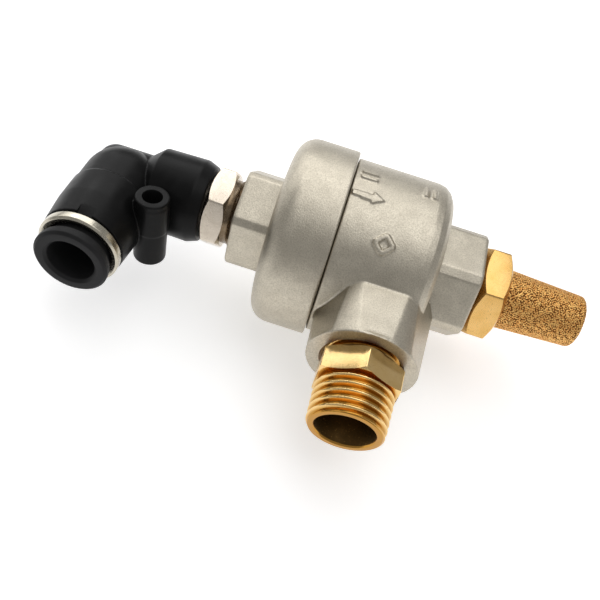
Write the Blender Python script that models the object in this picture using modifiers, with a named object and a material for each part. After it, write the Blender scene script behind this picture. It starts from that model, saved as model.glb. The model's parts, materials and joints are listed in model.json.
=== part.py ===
"""Quick exhaust valve with quarter-inch ports, an 8 mm push-in swivel elbow on its inlet,
a threaded nipple on its outlet and a sintered silencer on its exhaust.

Row frame, metres: +X runs along the valve from the inlet to the exhaust, the outlet points
along -Y and +Z is up. The origin is under the middle of the object, at its lowest point.
Stations along the valve are measured from the crossing of the main axis and the outlet axis.
"""

import math

import bmesh
import bpy
from mathutils import Matrix

MM = 0.001

# Clearances
GAP = 0.3 * MM
TUBE_CLEARANCE = 0.05 * MM

# Valve body and chamber
CHAMBER_RADIUS = 12.2 * MM
SPIGOT_WALL = 1.5 * MM
SPIGOT_LENGTH = 6.4 * MM
BODY_STEP = 2.4 * MM
OUTLET_TO_BODY_END = 7.6 * MM
BODY_SHOULDER_ROUND = 3.2 * MM
CHAMBER_END_WALL = 2.6 * MM
NOZZLE_BORE_RADIUS = 4.3 * MM
NOZZLE_WALL = 1.6 * MM

# Threaded ports, quarter inch: threads are modelled as plain cylinders
THREAD_RADIUS = 6.58 * MM
PORT_MOUTH_CHAMFER = 0.55 * MM
PORT_FLOOR_WALL = 2.3 * MM

# Outlet boss
OUTLET_BOSS_STAND = 6.9 * MM
OUTLET_BOSS_WALL = 2.82 * MM
OUTLET_BOSS_MARGIN = 0.17 * MM
OUTLET_BORE_STEP = 1.78 * MM
OUTLET_BOSS_FLAT_DEPTH = 0.5 * MM
OUTLET_BOSS_DRAFT = 0.045

# Exhaust boss
EXHAUST_BOSS_WALL = 2.52 * MM
EXHAUST_BOSS_LENGTH = 8.0 * MM
EXHAUST_BOSS_CORNER = math.radians(31.0)

# Inlet cap
CAP_WALL = 3.15 * MM
CAP_END_WALL = 2.7 * MM
CAP_SHOULDER_ROUND = 3.6 * MM
CAP_GLAND_DEPTH = 2.0 * MM
CAP_LAND_HEIGHT = 0.6 * MM
INLET_BOSS_WALL = 1.82 * MM
INLET_BOSS_LENGTH = 6.7 * MM
INLET_BOSS_CORNER = math.radians(49.0)
INLET_BORE_STEP = 2.58 * MM
INLET_SEAT_WALL = 1.6 * MM
INLET_SEAT_HEIGHT = 2.2 * MM
BOSS_CORNER_ALLOWANCE = 0.9 * MM

# Shuttle
SHUTTLE_WEB = 2.6 * MM
SHUTTLE_TRAVEL = 2.4 * MM
SHUTTLE_LIP_LENGTH = 2.3 * MM
SHUTTLE_LIP_WALL = 1.0 * MM
SHUTTLE_LIP_RELIEF = 0.5 * MM

# O-ring cords
CAP_O_RING_CORD = 1.5 * MM
STEM_O_RING_CORD = 0.9 * MM

# Elbow stem
STEM_NECK_LENGTH = 1.8 * MM
STEM_NECK_RELIEF = 0.38 * MM
STEM_HEX_STEP = 0.12 * MM
STEM_HEX_LENGTH = 4.0 * MM
STEM_HEX_CORNER = math.radians(35.5)
STEM_HEX_CHAMFER = 0.7 * MM
STEM_BORE_RADIUS = 3.0 * MM
STEM_WALL = 1.6 * MM
STEM_JOURNAL_LENGTH = 9.0 * MM
STEM_GROOVE_DEPTH = 0.9 * MM
STEM_O_RING_GROOVE = 1.5 * MM
RETAINER_THICKNESS = 1.0 * MM
RETAINER_SETBACK = 2.2 * MM
RETAINER_REACH = 1.1 * MM

# Elbow body
ELBOW_HEX_TO_OUTLET = 16.0 * MM
ELBOW_TURN = math.radians(-6.5)
INLET_LEG_WALL = 1.7 * MM
INLET_LEG_TAPER = 0.2 * MM
INLET_LEG_LENGTH = 9.65 * MM
INLET_LEG_END_CHAMFER = 2.0 * MM
INLET_LEG_END_INSET = 0.75 * MM
INLET_LEG_SHOULDER = 2.3 * MM
NECK_WALL = 2.5 * MM
CORNER_INSET = 0.2 * MM
CORNER_DOME_OUT = 2.7 * MM
CORNER_LENGTH = 7.7 * MM
BARREL_WALL = 1.05 * MM
BARREL_TAPER = 0.42 * MM
MOUNT_TUBE_RADIUS = 2.97 * MM
MOUNT_TUBE_LENGTH = 13.8 * MM
MOUNT_HOLE_RADIUS = 1.65 * MM
MOUNT_TUBE_BESIDE_BARREL = 1.05 * MM
MOUNT_TUBE_BESIDE_LEG = 2.2 * MM

# Push-in cartridge, stacked outwards from the tube stop
TUBE_RADIUS = 4.0 * MM
TUBE_STOP = 7.0 * MM
PASSAGE_STEP = 0.25 * MM
TUBE_SEAL_LENGTH = 2.5 * MM
TUBE_SEAL_GROOVE = 0.7 * MM
SPACER_LENGTH = 1.0 * MM
GRAB_RING_LENGTH = 1.5 * MM
GRAB_RING_THICKNESS = 0.35 * MM
GRAB_RING_HOOP = 0.75 * MM
GRAB_TEETH = 12
GRAB_SLOT = 0.5 * MM
GUIDE_RING_LENGTH = 1.8 * MM
SLEEVE_LENGTH = 3.4 * MM
SLEEVE_WALL = 0.6 * MM
SLEEVE_FLANGE = 1.6 * MM
SLEEVE_FLANGE_STEP = 0.8 * MM
COLLAR_WALL = 1.15 * MM
COLLAR_TRAVEL = 0.9 * MM
COLLAR_FLANGE = 1.95 * MM
COLLAR_FLANGE_STEP = 1.12 * MM
COLLAR_TIP_CHAMFER = 0.35 * MM
COLLAR_EDGE = 0.4 * MM
COLLAR_LEAD_IN = 0.5 * MM

# Outlet nipple
NIPPLE_STANDOFF = 0.8 * MM
NIPPLE_HEX_STEP = 0.02 * MM
NIPPLE_HEX_LENGTH = 4.1 * MM
NIPPLE_HEX_CHAMFER = 0.8 * MM
NIPPLE_THREAD_LENGTH = 7.35 * MM
NIPPLE_WALL = 1.76 * MM
NIPPLE_END_CHAMFER = 0.4 * MM

# Silencer
SILENCER_STANDOFF = 0.3 * MM
SILENCER_HEX_STEP = 1.22 * MM
SILENCER_HEX_LENGTH = 5.1 * MM
SILENCER_HEX_CORNER = math.radians(41.0)
SILENCER_HEX_CHAMFER = 1.3 * MM
SILENCER_WALL = 1.88 * MM
ELEMENT_SEAT = 1.1 * MM
ELEMENT_NARROWING = 0.7 * MM
ELEMENT_LENGTH = 15.0 * MM
ELEMENT_SEATING = 2.4 * MM
ELEMENT_WALL = 1.7 * MM
ELEMENT_EDGE = 0.5 * MM

# Rise of a turned hexagon chamfer, as a share of its width
CHAMFER_SLOPE = 0.6

# Facets
LARGE_STEPS = 40
STEPS = 32
HALF_STEP = math.pi / STEPS
SMALL_STEPS = 24
CORD_STEPS = 8
ROUND_POINTS = 5

# What the quarter-inch thread sets
PLAIN_THREAD_RADIUS = THREAD_RADIUS - GAP
OUTLET_BOSS_RADIUS = THREAD_RADIUS + OUTLET_BOSS_WALL
OUTLET_BORE_RADIUS = THREAD_RADIUS - OUTLET_BORE_STEP
EXHAUST_BOSS_FLATS = 2 * (THREAD_RADIUS + EXHAUST_BOSS_WALL)
INLET_BOSS_FLATS = 2 * (THREAD_RADIUS + INLET_BOSS_WALL)
INLET_BORE_RADIUS = THREAD_RADIUS - INLET_BORE_STEP
STEM_NECK_RADIUS = PLAIN_THREAD_RADIUS - STEM_NECK_RELIEF
STEM_HEX_FLATS = 2 * (THREAD_RADIUS + STEM_HEX_STEP)
NIPPLE_HEX_FLATS = 2 * (THREAD_RADIUS + NIPPLE_HEX_STEP)
NIPPLE_BORE_RADIUS = THREAD_RADIUS - NIPPLE_WALL
SILENCER_HEX_FLATS = 2 * (THREAD_RADIUS + SILENCER_HEX_STEP)
SILENCER_BORE_RADIUS = PLAIN_THREAD_RADIUS - SILENCER_WALL
ELEMENT_BASE_RADIUS = SILENCER_BORE_RADIUS + ELEMENT_SEAT
ELEMENT_TIP_RADIUS = ELEMENT_BASE_RADIUS - ELEMENT_NARROWING

# Round the main axis
SPIGOT_RADIUS = CHAMBER_RADIUS + SPIGOT_WALL
BODY_RADIUS = SPIGOT_RADIUS + BODY_STEP
NOZZLE_RADIUS = NOZZLE_BORE_RADIUS + NOZZLE_WALL

# Stations on the outlet axis. The boss widens inwards to its base.
OUTLET_MOUTH = BODY_RADIUS + OUTLET_BOSS_STAND
OUTLET_BOSS_BASE = (NOZZLE_RADIUS + CHAMBER_RADIUS) / 2
OUTLET_BOSS_GROWTH = (OUTLET_MOUTH - OUTLET_BOSS_BASE) * OUTLET_BOSS_DRAFT
OUTLET_PORT_FLOOR = CHAMBER_RADIUS + PORT_FLOOR_WALL
NIPPLE_HEX_START = OUTLET_MOUTH + NIPPLE_STANDOFF
NIPPLE_HEX_END = NIPPLE_HEX_START + NIPPLE_HEX_LENGTH
NIPPLE_END = NIPPLE_HEX_END + NIPPLE_THREAD_LENGTH

# Stations on the main axis. The body starts just clear of the outlet boss.
BODY_END = OUTLET_TO_BODY_END
BODY_START = -(OUTLET_BOSS_RADIUS + OUTLET_BOSS_GROWTH + OUTLET_BOSS_MARGIN)
SPIGOT_END = BODY_START - SPIGOT_LENGTH
CHAMBER_END = BODY_END - CHAMBER_END_WALL
EXHAUST_PORT_FLOOR = CHAMBER_END + PORT_FLOOR_WALL
EXHAUST_BOSS_END = BODY_END + EXHAUST_BOSS_LENGTH
CAP_RADIUS = SPIGOT_RADIUS + GAP + CAP_WALL
CAP_RIM = BODY_START - GAP
CAP_FLOOR = SPIGOT_END - CAP_GLAND_DEPTH
CAP_FACE = CAP_FLOOR - CAP_END_WALL
INLET_BOSS_END = CAP_FACE - INLET_BOSS_LENGTH
INLET_PORT_FLOOR = CAP_FLOOR + CAP_LAND_HEIGHT - PORT_FLOOR_WALL
INLET_SEAT = CAP_FLOOR + INLET_SEAT_HEIGHT
SHUTTLE_START = INLET_SEAT + GAP
SHUTTLE_WEB_END = SHUTTLE_START + SHUTTLE_WEB
EXHAUST_SEAT = SHUTTLE_WEB_END + SHUTTLE_TRAVEL + GAP
STEM_HEX_END = INLET_BOSS_END - STEM_NECK_LENGTH
STEM_HEX_START = STEM_HEX_END - STEM_HEX_LENGTH
STEM_JOURNAL_RADIUS = STEM_BORE_RADIUS + STEM_WALL
STEM_GROOVE_RADIUS = STEM_JOURNAL_RADIUS - STEM_GROOVE_DEPTH
JOURNAL_END = STEM_HEX_START - STEM_JOURNAL_LENGTH
STEM_RING_LOW = JOURNAL_END + STEM_O_RING_GROOVE
STEM_RING_HIGH = STEM_RING_LOW + STEM_O_RING_GROOVE
LOCK_HIGH = STEM_HEX_START - RETAINER_SETBACK
LOCK_LOW = LOCK_HIGH - RETAINER_THICKNESS - 2 * GAP
ELBOW_CENTRE = STEM_HEX_START - ELBOW_HEX_TO_OUTLET
SILENCER_HEX_START = EXHAUST_BOSS_END + SILENCER_STANDOFF
SILENCER_HEX_END = SILENCER_HEX_START + SILENCER_HEX_LENGTH
ELEMENT_TIP = SILENCER_HEX_END + ELEMENT_LENGTH

# Stations on the elbow's outlet leg, from the main axis
TUBE_HOLE_RADIUS = TUBE_RADIUS + TUBE_CLEARANCE
COLLAR_RADIUS = TUBE_HOLE_RADIUS + COLLAR_WALL
COLLAR_FLANGE_RADIUS = COLLAR_RADIUS + COLLAR_FLANGE_STEP
COLLAR_BORE_RADIUS = COLLAR_RADIUS + GAP
CARTRIDGE_RADIUS = COLLAR_BORE_RADIUS + SLEEVE_WALL
SLEEVE_FLANGE_RADIUS = CARTRIDGE_RADIUS + SLEEVE_FLANGE_STEP
SOCKET_RADIUS = CARTRIDGE_RADIUS + GAP
BARREL_RADIUS = SOCKET_RADIUS + BARREL_WALL
SEAL_START = TUBE_STOP + GAP
SPACER_START = SEAL_START + TUBE_SEAL_LENGTH + GAP
GRAB_START = SPACER_START + SPACER_LENGTH + GAP
GUIDE_START = GRAB_START + GRAB_RING_LENGTH + GAP
SLEEVE_START = GUIDE_START + GUIDE_RING_LENGTH + GAP
SLEEVE_FACE = SLEEVE_START + SLEEVE_LENGTH
BARREL_END = SLEEVE_FACE - GAP
SLEEVE_END = SLEEVE_FACE + SLEEVE_FLANGE
COLLAR_FLANGE_START = SLEEVE_END + COLLAR_TRAVEL + GAP / 3
COLLAR_END = COLLAR_FLANGE_START + COLLAR_FLANGE
COLLAR_TIP = GUIDE_START + COLLAR_TRAVEL - GAP

# Elbow
INLET_LEG_RADIUS = STEM_JOURNAL_RADIUS + RETAINER_REACH + GAP + INLET_LEG_WALL
NECK_RADIUS = STEM_BORE_RADIUS + NECK_WALL
MOUNT_TUBE_ALONG = BARREL_RADIUS + MOUNT_TUBE_BESIDE_BARREL
MOUNT_TUBE_OUT = INLET_LEG_RADIUS + MOUNT_TUBE_BESIDE_LEG

# Row frame: the middle of the extents, standing on the cap's rim
LEFT_END = ELBOW_CENTRE - BARREL_RADIUS
ROW_OFFSET = (
    -(LEFT_END + ELEMENT_TIP) / 2,
    (NIPPLE_END - CAP_RADIUS) / 2,
    CAP_RADIUS,
)

# Rotations that carry a piece's own Z axis onto the axis it is turned about
ALONG_MAIN = (0, math.pi / 2, 0)
ALONG_OUTLET = (math.pi / 2, 0, 0)
UPRIGHT = (0, 0, 0)


def clear_scene():
    for obj in list(bpy.data.objects):
        bpy.data.objects.remove(obj)


def make_collection(name):
    collection = bpy.data.collections.new(name)
    bpy.context.scene.collection.children.link(collection)
    return collection


def make_empty(name, location, parent=None, rotation=UPRIGHT):
    empty = bpy.data.objects.new(name, None)
    empty.empty_display_size = 0.01
    empty.location = location
    empty.rotation_euler = rotation
    empty.parent = parent
    PARTS.objects.link(empty)
    return empty


def make_material(name, colour, roughness, metallic):
    material = bpy.data.materials.new(name)
    material.use_nodes = True
    shader = material.node_tree.nodes["Principled BSDF"]
    shader.inputs["Base Color"].default_value = (*colour, 1)
    shader.inputs["Roughness"].default_value = roughness
    shader.inputs["Metallic"].default_value = metallic
    return material


def new_object(name, mesh, spot):
    """An object on its axis. A spot is the parent, the rotation and the place in the parent."""
    obj = bpy.data.objects.new(name, mesh)
    obj.parent, obj.rotation_euler, obj.location = spot
    PARTS.objects.link(obj)
    return obj


def turned(name, spot, outline, steps=STEPS, closed=False, start=0.0):
    """A turned piece. Its outline is (radius, height) points down the outside, then up the bore,
    and stands at the start angle."""
    mesh = bpy.data.meshes.new(name)
    count = len(outline)
    edges = [(i, i + 1) for i in range(count - 1)]
    if closed:
        edges.append((count - 1, 0))
    across, up = math.cos(start), math.sin(start)
    points = [(radius * across, radius * up, height) for radius, height in outline]
    mesh.from_pydata(points, edges, [])
    obj = new_object(name, mesh, spot)
    screw = obj.modifiers.new("turn", "SCREW")
    screw.steps = steps
    screw.render_steps = steps
    screw.use_merge_vertices = True
    screw.merge_threshold = 0.00001
    screw.use_smooth_shade = True
    return obj


def ring(name, spot, outline, steps=STEPS):
    return turned(name, spot, outline, steps, closed=True)


def plain_ring(name, spot, low, high, inner, outer, steps=SMALL_STEPS):
    outline = [(outer, high), (outer, low), (inner, low), (inner, high)]
    return ring(name, spot, outline, steps)


def rod(name, spot, low, high, radius, steps=STEPS, start=0.0):
    outline = [(0, high), (radius, high), (radius, low), (0, low)]
    return turned(name, spot, outline, steps, start=start)


def prism(name, spot, sides, flats, low, high, corner=0.0):
    """A prism with this many sides along its own Z axis, one corner at the given angle from X."""
    mesh = bpy.data.meshes.new(name)
    shape = bmesh.new()
    corner_radius = flats / 2 / math.cos(math.pi / sides)
    bmesh.ops.create_cone(
        shape,
        cap_ends=True,
        segments=sides,
        radius1=corner_radius,
        radius2=corner_radius,
        depth=high - low,
    )
    middle = Matrix.Translation((0, 0, (low + high) / 2))
    turn = Matrix.Rotation(corner - math.pi / 2, 4, "Z")
    bmesh.ops.transform(shape, matrix=middle @ turn, verts=shape.verts)
    shape.to_mesh(mesh)
    shape.free()
    return new_object(name, mesh, spot)


def combine(obj, operation, other):
    """Joins, cuts or trims an object by another, which becomes a hidden helper."""
    PARTS.objects.unlink(other)
    HELPERS.objects.link(other)
    other.hide_render = True
    other.display_type = "WIRE"
    boolean = obj.modifiers.new(other.name, "BOOLEAN")
    boolean.operation = operation
    boolean.object = other


def join(obj, other):
    combine(obj, "UNION", other)


def cut(obj, other):
    combine(obj, "DIFFERENCE", other)


def trim(obj, other):
    combine(obj, "INTERSECT", other)


def finish(obj, material):
    obj.data.materials.append(material)
    return obj


def arc(centre_radius, centre_height, size, start, end, points=ROUND_POINTS):
    """Points of a round on an outline, by angle in degrees from straight outwards."""
    result = []
    for i in range(points):
        angle = math.radians(start + (end - start) * i / (points - 1))
        radius = centre_radius + size * math.cos(angle)
        height = centre_height + size * math.sin(angle)
        result.append((radius, height))
    return result


def chamfered_hex(name, spot, flats, low, high, corner, low_chamfer, high_chamfer):
    """A hexagon whose corners are turned away at its ends."""
    obj = prism(name, spot, 6, flats, low, high, corner)
    corner_radius = flats / 2 / math.cos(math.pi / 6)
    outline = [
        (0, high + GAP),
        (corner_radius - high_chamfer, high + GAP),
        (corner_radius - high_chamfer, high),
        (corner_radius + GAP, high - high_chamfer * CHAMFER_SLOPE),
        (corner_radius + GAP, low + low_chamfer * CHAMFER_SLOPE),
        (corner_radius - low_chamfer, low),
        (corner_radius - low_chamfer, low - GAP),
        (0, low - GAP),
    ]
    trim(obj, turned(name + "_turning", spot, outline, STEPS))
    return obj


def boss_hexagon(name, spot, flats, low, high, corner):
    """A cast hexagon with its corners trimmed flat."""
    obj = prism(name, spot, 6, flats, low, high, corner)
    allowed = flats + 2 * BOSS_CORNER_ALLOWANCE
    corners = name + "_corners"
    trim(obj, prism(corners, spot, 6, allowed, low - GAP, high + GAP, corner + math.pi / 6))
    return obj


def valve_body(frame, material):
    """The cast body: barrel, screwed spigot, exhaust boss and outlet boss around one chamber."""
    main = (frame, ALONG_MAIN, (0, 0, 0))
    branch = (frame, ALONG_OUTLET, (0, 0, 0))
    shoulder_radius = BODY_RADIUS - BODY_SHOULDER_ROUND
    shoulder_height = BODY_END - BODY_SHOULDER_ROUND
    outline = [
        (0, BODY_END),
        *arc(shoulder_radius, shoulder_height, BODY_SHOULDER_ROUND, 90, 0),
        (BODY_RADIUS, BODY_START),
        (SPIGOT_RADIUS, BODY_START),
        (SPIGOT_RADIUS, SPIGOT_END),
        (0, SPIGOT_END),
    ]
    body = turned("valve_body", main, outline, LARGE_STEPS)
    join(body, boss_hexagon(
        "exhaust_boss", main, EXHAUST_BOSS_FLATS, shoulder_height, EXHAUST_BOSS_END,
        EXHAUST_BOSS_CORNER,
    ))
    join(body, outlet_boss(branch))
    mouth_radius = THREAD_RADIUS + PORT_MOUTH_CHAMFER
    cut(body, turned("chamber", main, [
        (0, EXHAUST_BOSS_END + GAP),
        (mouth_radius, EXHAUST_BOSS_END + GAP),
        (mouth_radius, EXHAUST_BOSS_END),
        (THREAD_RADIUS, EXHAUST_BOSS_END - PORT_MOUTH_CHAMFER),
        (THREAD_RADIUS, EXHAUST_PORT_FLOOR),
        (NOZZLE_BORE_RADIUS, EXHAUST_PORT_FLOOR),
        (NOZZLE_BORE_RADIUS, EXHAUST_SEAT),
        (NOZZLE_RADIUS, EXHAUST_SEAT),
        (NOZZLE_RADIUS, CHAMBER_END),
        (CHAMBER_RADIUS, CHAMBER_END),
        (CHAMBER_RADIUS, SPIGOT_END - GAP),
        (0, SPIGOT_END - GAP),
    ], LARGE_STEPS))
    cut(body, turned("outlet_port", branch, [
        (0, OUTLET_MOUTH + GAP),
        (mouth_radius, OUTLET_MOUTH + GAP),
        (mouth_radius, OUTLET_MOUTH),
        (THREAD_RADIUS, OUTLET_MOUTH - PORT_MOUTH_CHAMFER),
        (THREAD_RADIUS, OUTLET_PORT_FLOOR),
        (OUTLET_BORE_RADIUS, OUTLET_PORT_FLOOR),
        (OUTLET_BORE_RADIUS, OUTLET_BOSS_BASE),
        (0, OUTLET_BOSS_BASE),
    ]))
    finish(body, material)


def outlet_boss(branch):
    """A cast hexagon, a flat facing up, with its corners turned to a slight cone."""
    low = OUTLET_BOSS_BASE
    base_radius = OUTLET_BOSS_RADIUS + OUTLET_BOSS_GROWTH
    flats = 2 * (OUTLET_BOSS_RADIUS - OUTLET_BOSS_FLAT_DEPTH)
    boss = prism("outlet_boss", branch, 6, flats, low, OUTLET_MOUTH)
    trim(boss, turned("outlet_boss_rounding", branch, [
        (0, OUTLET_MOUTH + GAP),
        (OUTLET_BOSS_RADIUS, OUTLET_MOUTH + GAP),
        (OUTLET_BOSS_RADIUS, OUTLET_MOUTH),
        (base_radius, low),
        (base_radius, low - GAP),
        (0, low - GAP),
    ], LARGE_STEPS))
    return boss


def inlet_cap(frame, material):
    """The screwed cap: skirt over the spigot, inlet seat inside and inlet boss outside."""
    main = (frame, ALONG_MAIN, (0, 0, 0))
    skirt_bore = SPIGOT_RADIUS + GAP
    land_radius = CHAMBER_RADIUS - GAP
    land = CAP_FLOOR + CAP_LAND_HEIGHT
    seat_radius = INLET_BORE_RADIUS + INLET_SEAT_WALL
    shoulder_radius = CAP_RADIUS - CAP_SHOULDER_ROUND
    shoulder_height = CAP_FACE + CAP_SHOULDER_ROUND
    cap = turned("inlet_cap", main, [
        (0, INLET_SEAT),
        (seat_radius, INLET_SEAT),
        (seat_radius, land),
        (land_radius, land),
        (land_radius, CAP_FLOOR),
        (skirt_bore, CAP_FLOOR),
        (skirt_bore, CAP_RIM),
        (CAP_RADIUS, CAP_RIM),
        *arc(shoulder_radius, shoulder_height, CAP_SHOULDER_ROUND, 0, -90),
        (0, CAP_FACE),
    ], LARGE_STEPS)
    join(cap, boss_hexagon(
        "inlet_boss", main, INLET_BOSS_FLATS, INLET_BOSS_END, CAP_FACE + CAP_END_WALL / 2,
        INLET_BOSS_CORNER,
    ))
    mouth_radius = THREAD_RADIUS + PORT_MOUTH_CHAMFER
    cut(cap, turned("inlet_port", main, [
        (0, INLET_SEAT + GAP),
        (INLET_BORE_RADIUS, INLET_SEAT + GAP),
        (INLET_BORE_RADIUS, INLET_PORT_FLOOR),
        (THREAD_RADIUS, INLET_PORT_FLOOR),
        (THREAD_RADIUS, INLET_BOSS_END + PORT_MOUTH_CHAMFER),
        (mouth_radius, INLET_BOSS_END),
        (mouth_radius, INLET_BOSS_END - GAP),
        (0, INLET_BOSS_END - GAP),
    ]))
    finish(cap, material)


def o_ring(name, frame, material, cord, inner, outer, low, high):
    """A round cord in the middle of its gland."""
    middle_radius = (inner + outer) / 2
    middle_height = (low + high) / 2
    outline = arc(middle_radius, middle_height, cord / 2, 360, 0, CORD_STEPS + 1)[:-1]
    finish(ring(name, (frame, ALONG_MAIN, (0, 0, 0)), outline), material)


def cap_o_ring(frame, material):
    inner = CHAMBER_RADIUS - GAP
    outer = SPIGOT_RADIUS + GAP
    o_ring("cap_o_ring", frame, material, CAP_O_RING_CORD, inner, outer, CAP_FLOOR, SPIGOT_END)


def shuttle_cup(frame, material):
    """The cup seal: a web between the two seats and a lip that trails towards the exhaust."""
    radius = CHAMBER_RADIUS - GAP
    lip_end = SHUTTLE_WEB_END + SHUTTLE_LIP_LENGTH
    lip_inner = radius - SHUTTLE_LIP_WALL
    finish(turned("shuttle_cup", (frame, ALONG_MAIN, (0, 0, 0)), [
        (0, SHUTTLE_WEB_END),
        (lip_inner - SHUTTLE_LIP_RELIEF * 2, SHUTTLE_WEB_END),
        (lip_inner - SHUTTLE_LIP_RELIEF, SHUTTLE_WEB_END - SHUTTLE_LIP_RELIEF),
        (lip_inner, SHUTTLE_WEB_END),
        (lip_inner, lip_end),
        (radius, lip_end),
        (radius - SHUTTLE_LIP_RELIEF, SHUTTLE_START + SHUTTLE_WEB / 2),
        (radius - SHUTTLE_LIP_RELIEF * 2, SHUTTLE_START),
        (0, SHUTTLE_START),
    ]), material)


def elbow_stem(frame, material):
    """The plated stud: thread in the inlet port, hexagon, and the journal the elbow turns on."""
    main = (frame, ALONG_MAIN, (0, 0, 0))
    thread_end = INLET_PORT_FLOOR - GAP
    hex_middle = STEM_HEX_START + STEM_HEX_LENGTH / 2
    stem = ring("elbow_stem", main, [
        (PLAIN_THREAD_RADIUS, thread_end),
        (PLAIN_THREAD_RADIUS, INLET_BOSS_END),
        (STEM_NECK_RADIUS, INLET_BOSS_END - STEM_NECK_LENGTH / 2),
        (STEM_NECK_RADIUS, hex_middle),
        (STEM_JOURNAL_RADIUS, hex_middle),
        (STEM_JOURNAL_RADIUS, LOCK_HIGH),
        (STEM_GROOVE_RADIUS, LOCK_HIGH),
        (STEM_GROOVE_RADIUS, LOCK_LOW),
        (STEM_JOURNAL_RADIUS, LOCK_LOW),
        (STEM_JOURNAL_RADIUS, STEM_RING_HIGH),
        (STEM_GROOVE_RADIUS, STEM_RING_HIGH),
        (STEM_GROOVE_RADIUS, STEM_RING_LOW),
        (STEM_JOURNAL_RADIUS, STEM_RING_LOW),
        (STEM_JOURNAL_RADIUS, JOURNAL_END),
        (STEM_BORE_RADIUS, JOURNAL_END),
        (STEM_BORE_RADIUS, thread_end),
    ])
    hexagon = chamfered_hex(
        "stem_hex", main, STEM_HEX_FLATS, STEM_HEX_START, STEM_HEX_END,
        STEM_HEX_CORNER, STEM_HEX_CHAMFER, STEM_HEX_CHAMFER / 2,
    )
    core = (STEM_BORE_RADIUS + STEM_JOURNAL_RADIUS) / 2
    cut(hexagon, rod("stem_hex_core", main, STEM_HEX_START - GAP, STEM_HEX_END + GAP, core))
    join(stem, hexagon)
    finish(stem, material)


def stem_o_ring(frame, material):
    inner = STEM_GROOVE_RADIUS
    outer = STEM_JOURNAL_RADIUS + GAP
    low, high = STEM_RING_LOW, STEM_RING_HIGH
    o_ring("stem_o_ring", frame, material, STEM_O_RING_CORD, inner, outer, low, high)


def swivel_retainer(elbow, material):
    """The ring that keeps the elbow on its stem and lets it turn."""
    low = LOCK_LOW + GAP - ELBOW_CENTRE
    high = LOCK_HIGH - GAP - ELBOW_CENTRE
    inner = STEM_GROOVE_RADIUS + GAP
    outer = STEM_JOURNAL_RADIUS + RETAINER_REACH
    spot = (elbow, ALONG_MAIN, (0, 0, 0))
    finish(plain_ring("swivel_retainer", spot, low, high, inner, outer), material)


def elbow_body(elbow, material):
    """The moulded elbow: two legs, the arched corner and the upright mounting tube."""
    inlet = (elbow, ALONG_MAIN, (0, 0, 0))
    outlet = (elbow, ALONG_OUTLET, (0, 0, 0))
    high = STEM_HEX_START - GAP - ELBOW_CENTRE
    low = high - INLET_LEG_LENGTH
    body = turned("elbow_body", inlet, [
        (0, high),
        (INLET_LEG_RADIUS - INLET_LEG_END_INSET, high),
        (INLET_LEG_RADIUS, high - INLET_LEG_END_CHAMFER),
        (INLET_LEG_RADIUS - INLET_LEG_TAPER, low),
        (NECK_RADIUS, low - INLET_LEG_SHOULDER),
        *arc(0, 0, NECK_RADIUS, 0, -90),
    ])
    corner_radius = BARREL_RADIUS - CORNER_INSET
    barrel = turned("outlet_leg", outlet, [
        (0, BARREL_END),
        (BARREL_RADIUS - BARREL_TAPER, BARREL_END),
        (BARREL_RADIUS, (BARREL_END + CORNER_LENGTH) / 2),
        (BARREL_RADIUS, CORNER_LENGTH),
        (corner_radius, CORNER_LENGTH - CORNER_INSET),
        *arc(0, CORNER_DOME_OUT, corner_radius, 0, -90, 2 * ROUND_POINTS - 1),
    ], start=HALF_STEP)
    join(body, barrel)
    mount = (elbow, UPRIGHT, (MOUNT_TUBE_ALONG, -MOUNT_TUBE_OUT, 0))
    half = MOUNT_TUBE_LENGTH / 2
    far = half + GAP
    join(body, rod("mounting_tube", mount, -half, half, MOUNT_TUBE_RADIUS, SMALL_STEPS))
    cut(body, rod("mounting_hole", mount, -far, far, MOUNT_HOLE_RADIUS, SMALL_STEPS, HALF_STEP))
    journal_bore = STEM_JOURNAL_RADIUS + GAP
    lock_groove = STEM_JOURNAL_RADIUS + RETAINER_REACH + GAP
    passage = STEM_BORE_RADIUS - PASSAGE_STEP
    cut(body, turned("stem_bore", inlet, [
        (0, high + GAP),
        (journal_bore, high + GAP),
        (journal_bore, LOCK_HIGH - ELBOW_CENTRE),
        (lock_groove, LOCK_HIGH - ELBOW_CENTRE),
        (lock_groove, LOCK_LOW - ELBOW_CENTRE),
        (journal_bore, LOCK_LOW - ELBOW_CENTRE),
        (journal_bore, JOURNAL_END - GAP - ELBOW_CENTRE),
        (STEM_BORE_RADIUS, JOURNAL_END - GAP - ELBOW_CENTRE),
        (STEM_BORE_RADIUS, -STEM_BORE_RADIUS),
        (0, -STEM_BORE_RADIUS),
    ], start=HALF_STEP))
    cut(body, turned("tube_socket", outlet, [
        (0, BARREL_END + GAP),
        (SOCKET_RADIUS, BARREL_END + GAP),
        (SOCKET_RADIUS, TUBE_STOP),
        (passage, TUBE_STOP),
        (passage, 0),
        (0, 0),
    ]))
    finish(body, material)


def tube_seal(elbow, material):
    """The lipped seal that grips the tube, open on its pressure side."""
    spot = (elbow, ALONG_OUTLET, (0, 0, 0))
    high = SEAL_START + TUBE_SEAL_LENGTH
    middle = (TUBE_HOLE_RADIUS + CARTRIDGE_RADIUS) / 2
    finish(ring("tube_seal", spot, [
        (CARTRIDGE_RADIUS, high),
        (CARTRIDGE_RADIUS, SEAL_START),
        (middle + TUBE_SEAL_GROOVE / 2, SEAL_START),
        (middle, SEAL_START + TUBE_SEAL_LENGTH / 2),
        (middle - TUBE_SEAL_GROOVE / 2, SEAL_START),
        (TUBE_HOLE_RADIUS, SEAL_START),
        (TUBE_HOLE_RADIUS, high),
    ], SMALL_STEPS), material)


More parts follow.
